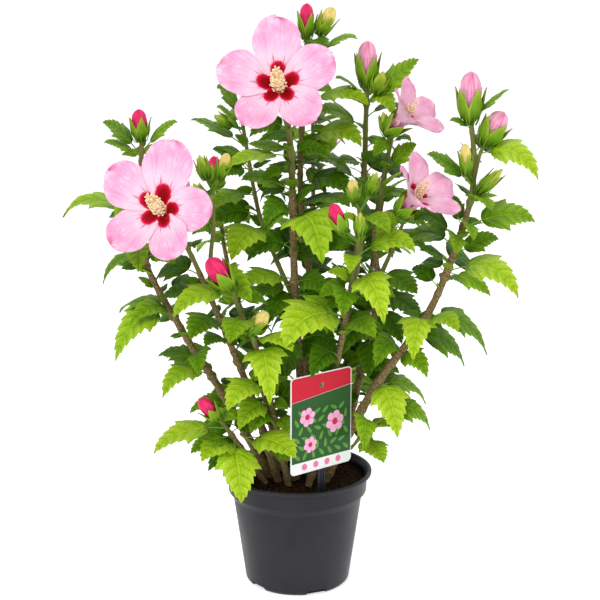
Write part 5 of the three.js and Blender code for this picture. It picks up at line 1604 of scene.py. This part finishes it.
def make_soil(rng):
    """A crumbly surface inside the pot, closed below, and loose crumbs and fibres on it."""
    inset = POT_WALL + GAP + 0.1
    rim = BAND_RADIUS - inset - 0.4
    body = Mesh()
    rings, sides = 46, 150
    share = np.linspace(0, 1, rings) ** 0.8
    angle = 2 * np.pi * np.arange(sides + 1) / sides
    x = share[:, None] * rim * np.cos(angle)
    y = share[:, None] * rim * np.sin(angle)
    lumps = np.zeros_like(x)
    for _ in range(40):
        pace, heading, phase = rng.uniform(0.12, 1.3), rng.uniform(0, 6.28), rng.uniform(0, 6.28)
        lumps += np.sin(pace * (x * math.cos(heading) + y * math.sin(heading)) + phase) \
            * 0.34 / math.sqrt(pace + 0.3)
    z = SOIL_TOP + 0.3 + lumps * 0.5 * (1 - 0.5 * smooth(0.9, 1, share))[:, None]
    z[:, -1] = z[:, 0]
    top = np.stack([x, y, z], axis=2)
    side_rows = [(rim, SOIL_TOP - 2), (BAND_RADIUS - inset - 0.9, BAND_BOTTOM + 2 + 2 * GAP),
                 (BODY_TOP_RADIUS - inset - 2.2, STEP_HEIGHT + GAP),
                 (BASE_RADIUS - inset - 0.2, POT_FLOOR + GAP), (0.01, POT_FLOOR + GAP)]
    below = np.stack([np.stack([r * np.cos(angle), r * np.sin(angle), 0 * angle + h], axis=1)
                      for r, h in side_rows])
    places = np.concatenate([top, below])
    uv = 0.5 + places[..., :2] / (2 * LIP_RADIUS)
    body.grid(places, uv)
    soil = body.make("soil_bed", soil_paint("soil_dark", linear(16, 9, 6), linear(50, 29, 17)))
    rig.replaces(soil, "soil")
    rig.slot(soil, "soil")
    crumbs = Mesh()
    for _ in range(CRUMB_COUNT):
        r, a = (rim - 1.5) * math.sqrt(rng.uniform(0, 1)), rng.uniform(0, 6.28)
        size = 0.5 + 1.3 * rng.uniform(0, 1) ** 2.5
        centre = vec(r * math.cos(a), r * math.sin(a), SOIL_TOP + 0.6 + size * 0.35)
        way = unit(vec(*rng.normal(0, 1, 3)))
        add_ball(crumbs, centre, way, size * rng.uniform(1.6, 2.8), size * rng.uniform(0.6, 1),
                 sides=5, rows=4)
    for _ in range(FIBRE_COUNT):
        r, a, h = (rim - 8) * math.sqrt(rng.uniform(0, 1)), rng.uniform(0, 6.28), rng.uniform(0, 6.28)
        centre = vec(r * math.cos(a), r * math.sin(a), SOIL_TOP + 1.4)
        way = unit(vec(math.cos(h), math.sin(h), rng.uniform(-0.15, 0.2)))
        add_ball(crumbs, centre, way, rng.uniform(5, 10), 0.35, sides=5, rows=5)
    loose = crumbs.make("soil_crumbs", soil_paint("soil_crumb", linear(42, 24, 14),
                                                  linear(104, 66, 42)))
    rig.slot(loose, "soil")


def card_place(x, z, out):
    """A place on the label: x across, z up from its middle, out from its mid plane."""
    return CARD_CENTRE + CARD_ACROSS * x + vec(0, 0, z) + CARD_OUT * out


def rounded_rectangle(half_width, half_height, corner, steps=6):
    made = []
    for cx, cz, start in [(1, 1, 0), (-1, 1, 90), (-1, -1, 180), (1, -1, 270)]:
        for k in range(steps + 1):
            a = math.radians(start + 90 * k / steps)
            made.append((cx * (half_width - corner) + corner * math.cos(a),
                         cz * (half_height - corner) + corner * math.sin(a)))
    return made


def plate(name, outlines, front, back, material, holes=()):
    """Flat pieces on the label between two depths, cut through by holes."""
    obj = prisms(name, [[[card_place(x, z, out) for x, z in outline] for out in (front, back)]
                        for outline in outlines])
    for x, z, radius in holes:
        drill = [[card_place(*spot, out) for spot in disc(x, z, radius, 32)] for out in (3, -3)]
        cut_away(obj, prisms("drill", [drill]))
    across, centre = Vector(CARD_ACROSS), Vector(CARD_CENTRE) * MM
    map_places(obj, lambda co: (0.5 + (co - centre).dot(across) / CARD_MAP,
                                0.5 + (co - centre).z / CARD_MAP))
    obj.data.materials.append(material)
    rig.slot(obj, "label_print")
    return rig.ride(obj, "root")


def leaf_outline_on_card(x, z, size, turn):
    """A plain pointed leaf for the label's picture."""
    made = []
    a = math.radians(turn)
    for t in np.linspace(0, 2 * np.pi, 17)[:-1]:
        along = math.cos(t)
        across = 0.38 * math.sin(t) * (1 - 0.35 * along)
        made.append((x + size * (along * math.cos(a) - across * math.sin(a)),
                     z + size * (along * math.sin(a) + across * math.cos(a))))
    return made


def disc(x, z, radius, sides=20):
    angles = np.linspace(0, 2 * np.pi, sides + 1)[:-1]
    return [(x + radius * math.cos(a), z + radius * math.sin(a)) for a in angles]


def make_label(rng):
    """A plain printed card: red band, a pattern of sprigs and round blossoms, a strip of dots."""
    w, h, c = CARD_WIDTH / 2, CARD_HEIGHT / 2, CARD_CORNER
    face = CARD_THICK / 2
    hole = (0, h - 14, CARD_HOLE)
    card = plate("label_board", [rounded_rectangle(w, h, c)], face - 0.12, -face,
                 print_paint("card_white", linear(238, 240, 240)), [hole])
    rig.replaces(card, "label_card")
    low_left, low_right = [h - depth for depth in CARD_BAND]
    right, bottom = w - CARD_EDGE, -h + CARD_STRIP
    top = [p for p in rounded_rectangle(right, h - CARD_EDGE, c - CARD_EDGE) if p[1] > 0]
    top.sort(key=lambda p: math.atan2(p[1] - low_left, p[0]))
    outline = [(right, low_right)] + top + [(-right, low_left)]
    red = print_paint("card_red", linear(204, 6, 42))
    plate("label_band", [outline], face, face - 0.1, red, [hole])
    plate("label_band_back", [outline], -face - 0.02, -face - 0.1, red, [hole])
    field = [(-right, bottom), (right, bottom), (right, low_right - 0.4), (-right, low_left - 0.4)]
    plate("label_field", [field], face, face - 0.1, print_paint("card_green", linear(34, 84, 30)))
    sprigs = []
    for row in range(6):
        for column in range(7):
            x = -w + 8 + column * 11.6 + (5.8 if row % 2 else 0)
            z = bottom + 7 + row * 9.6
            if abs(x) < w - 7:
                sprigs.append(leaf_outline_on_card(x, z, 5.2, rng.uniform(20, 160)))
    plate("label_sprigs", sprigs, face + 0.05, face - 0.05,
          print_paint("card_leaf", linear(86, 150, 50)))
    petals, hearts = [], []
    for x, z, size in [(-20, 8, 11), (19, -4, 13), (-16, -24, 9.5)]:
        for k in range(6):
            a = math.radians(60 * k + 15)
            petals.append(disc(x + size * 0.62 * math.cos(a), z + size * 0.62 * math.sin(a),
                               size * 0.36))
        hearts.append(disc(x, z, size * 0.3))
    plate("label_blossoms", petals, face + 0.1, face, print_paint("card_pink", linear(244, 176, 214)))
    plate("label_hearts", hearts, face + 0.14, face, print_paint("card_rose", linear(206, 20, 74)))
    dots = [disc(-24 + 16 * k, bottom - CARD_STRIP / 2 + 0.5, 3.7) for k in range(4)]
    plate("label_dots", dots, face, face - 0.1, print_paint("card_dot", linear(232, 120, 160)))


def make_stake():
    """The ribbed stake that carries the label."""
    top = CARD_CENTRE[2] - CARD_HEIGHT / 2 - GAP
    bottom = SOIL_TOP + GAP
    w, t = STAKE_WIDTH / 2, STAKE_THICK / 2
    section = [(-w, -t), (w, -t), (w, t), (w * 0.62, t), (w * 0.62, t * 0.35), (w * 0.1, t * 0.35),
               (w * 0.1, t), (-w * 0.1, t), (-w * 0.1, t * 0.35), (-w * 0.62, t * 0.35),
               (-w * 0.62, t), (-w, t)]
    rings = [[card_place(x * inset, z - CARD_CENTRE[2], y * inset) for x, y in section]
             for z, inset in ((bottom, 1.0), (top - 1, 1.0), (top, 0.86))]
    stake = prisms("stake_ribbed", [rings])
    map_places(stake, lambda co: (0.5 + co.x * 8, co.z * 4))
    stake.data.materials.append(streaked_paint("stake_plastic", linear(30, 31, 38),
                                               linear(52, 54, 66), roughness=0.42, amount=0.4))
    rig.ride(stake, "root")
    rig.replaces(stake, "label_stake")
    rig.slot(stake, "stake_plastic")


# ---- the whole plant
def make_plant():
    plant = Plant()
    rng = np.random.default_rng(77)
    small = young_leaves(plant, rng)
    tones = [Mesh() for _ in LEAF_LIGHT_AND_SHADE_TONES]
    petioles = Mesh()
    for leaf in plant.leaves:
        # each leaf goes to the piece of its tone, which paints light and shade by its place
        add_leaf(tones[painted_light_and_random_tone(leaf, rng)], leaf, FINE_LEAF, rng)
        add_petiole(petioles, leaf)
    for leaf in small:
        # young leaves take the painted light and shade tone of their place, paler by a random step
        tone = int(np.clip(painted_light_and_random_tone(leaf, rng) + rng.integers(0, 3), 0, 5))
        add_leaf(tones[tone], leaf, YOUNG_LEAF, rng)
        add_petiole(petioles, leaf)
    crowns = [node for node in frame["nodes"] if node.startswith(("crown_", "shoot_"))]
    pieces = []
    # one piece for each tone of painted light and shade
    for tone, mesh in enumerate(tones):
        pieces.append(mesh.make(f"leaves_{tone}", leaf_paint(tone)))
    pieces.append(petioles.make("leaf_stalks", streaked_paint(
        "leaf_stalk", linear(104, 150, 44), linear(150, 176, 70))))
    for piece in pieces:
        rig.slot(piece, "foliage")
        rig.replaces(piece, *crowns)
    make_wood(plant, rng)
    make_flowers(plant, rng)


def make_wood(plant, rng):
    """Bark on the stems, and the greener twigs of the crowns."""
    bark, twigs = Mesh(), Mesh()
    for name, limb in plant.limbs.items():
        roots = [leaf.root for leaf in plant.leaves if leaf.owner == name]
        knots = [float(limb.lengths[np.argmin(((limb.points - r) ** 2).sum(1))]) for r in roots]
        if name in STEMS:
            for knot in np.arange(14, limb.reach(STEMS[name][3]), 27):
                knots.append(float(knot))
            change = limb.length * 0.8
            add_limb(bark, limb, -6, change, knots, rng)
            start = change - 1.5
        else:
            start = 0
        radii = add_limb(twigs, limb, start, limb.length, knots, rng, sides=10, swell=0.18)
        tip = limb.along(limb.length)
        add_ball(twigs, tip[0], tip[1], radii[-1] * 3.2, radii[-1] * 1.02, sides=10, rows=7)
    stems = [node for node in frame["nodes"] if node.startswith("stem_")]
    wood = bark.make("bark_stems", bark_paint())
    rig.slot(wood, "bark")
    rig.replaces(wood, *stems)
    young = twigs.make("young_twigs", streaked_paint("twig", linear(122, 128, 60),
                                                     linear(96, 82, 48), 0.7, 16.0, 0.7))
    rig.slot(young, "bark")


def make_flowers(plant, rng):
    paints = {
        "petals": petal_paint(),
        "threads": streaked_paint("thread", linear(250, 226, 186), linear(238, 196, 160)),
        "anthers": streaked_paint("anther", linear(255, 240, 200), linear(238, 208, 150), 0.8),
        "sepals": sepal_paint(),
        "stalks": streaked_paint("flower_stalk", linear(88, 136, 34), linear(124, 160, 60)),
        "bud_red": streaked_paint("bud_red", linear(236, 44, 110), linear(196, 8, 72), amount=0.8),
        "bud_pink": streaked_paint("bud_pink", linear(246, 176, 206), linear(214, 92, 140),
                                   amount=0.8),
        "bud_cream": streaked_paint("bud_cream", linear(238, 222, 130), linear(206, 176, 84),
                                    amount=0.8),
        "bud_green": streaked_paint("bud_green", linear(170, 196, 60), linear(206, 186, 90)),
    }
    parts = {name: Mesh() for name in paints}
    for index, bloom in enumerate(BLOOMS):
        add_bloom(parts, index, bloom, plant.limbs[bloom[0]], rng)
    for bud in BUDS:
        add_bud(parts, bud, plant.limbs[bud[0]], rng)
    for name, mesh in parts.items():
        piece = mesh.make(f"flower_{name}", paints[name])
        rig.slot(piece, "foliage")


# ---- stage
SKY_LIGHT = 0.65     # what the white surroundings give; the camera sees them pure white
SKY_SEEN = 1.02
FLOOR_GLOW = 0.55
FLOOR_HALF = 12      # metres
LENS = 84
LENS_TILT = 77.1     # degrees from straight down
PICTURE_WIDTH = 600
PICTURE_SHIFT = 2.5  # in pixels


def make_stage():
    """A pale floor, soft light from the front and above, and the camera."""
    scene = bpy.context.scene
    scene.view_settings.view_transform = "Standard"
    data = bpy.data.meshes.new("floor")
    data.from_pydata([(x * FLOOR_HALF, y * FLOOR_HALF, 0)
                      for x, y in ((-1, -1), (1, -1), (1, 1), (-1, 1))], [], [(0, 1, 2, 3)])
    floor = link("floor", data)
    white = Paint("floor_white", roughness=0.9, specular=0.0)
    white.colour((0.9, 0.9, 0.9, 1))
    white.shader.inputs["Emission Color"].default_value = (1, 1, 1, 1)
    white.shader.inputs["Emission Strength"].default_value = FLOOR_GLOW
    data.materials.append(white.material)
    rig.stage(floor)

    world = bpy.data.worlds.new("soft_white")
    scene.world = world
    world.use_nodes = True
    sky = world.node_tree.nodes["Background"]
    sky.inputs["Color"].default_value = (1, 1, 1, 1)
    seen = world.node_tree.nodes.new("ShaderNodeLightPath")
    share = world.node_tree.nodes.new("ShaderNodeMapRange")
    share.inputs["To Min"].default_value = SKY_LIGHT
    share.inputs["To Max"].default_value = SKY_SEEN
    world.node_tree.links.new(seen.outputs["Is Camera Ray"], share.inputs["Value"])
    world.node_tree.links.new(share.outputs["Result"], sky.inputs["Strength"])

    add_light("key", (-1.1, -1.9, 2.3), 1.6, 30)
    add_light("fill", (1.9, -1.7, 1.3), 2.0, 10)
    add_light("rim", (0.6, 2.2, 2.2), 1.8, 16)

    lens = bpy.data.cameras.new("camera")
    lens.lens = LENS
    lens.sensor_width = 36
    lens.shift_x = PICTURE_SHIFT / PICTURE_WIDTH
    camera = link("camera", lens)
    camera.location = Vector(EYE) * MM
    camera.rotation_euler = (math.radians(LENS_TILT), 0, 0)
    scene.camera = camera


def add_light(name, place, size, power):
    lamp = bpy.data.lights.new(name, "AREA")
    lamp.shape = "DISK"
    lamp.size = size
    lamp.energy = power
    obj = link(name, lamp)
    obj.location = place
    aim = Vector((0, 0, 0.35)) - Vector(place)
    obj.rotation_euler = aim.to_track_quat("-Z", "Y").to_euler()


make_stage()
make_plant()
make_pot()
make_soil(np.random.default_rng(5))
make_label(np.random.default_rng(9))
make_stake()

shown_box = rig.bounds()
with open("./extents.json", "w") as file:
    json.dump({"cad": [list(corner) for corner in cad_box],
               "visual": [list(corner) for corner in shown_box]}, file)
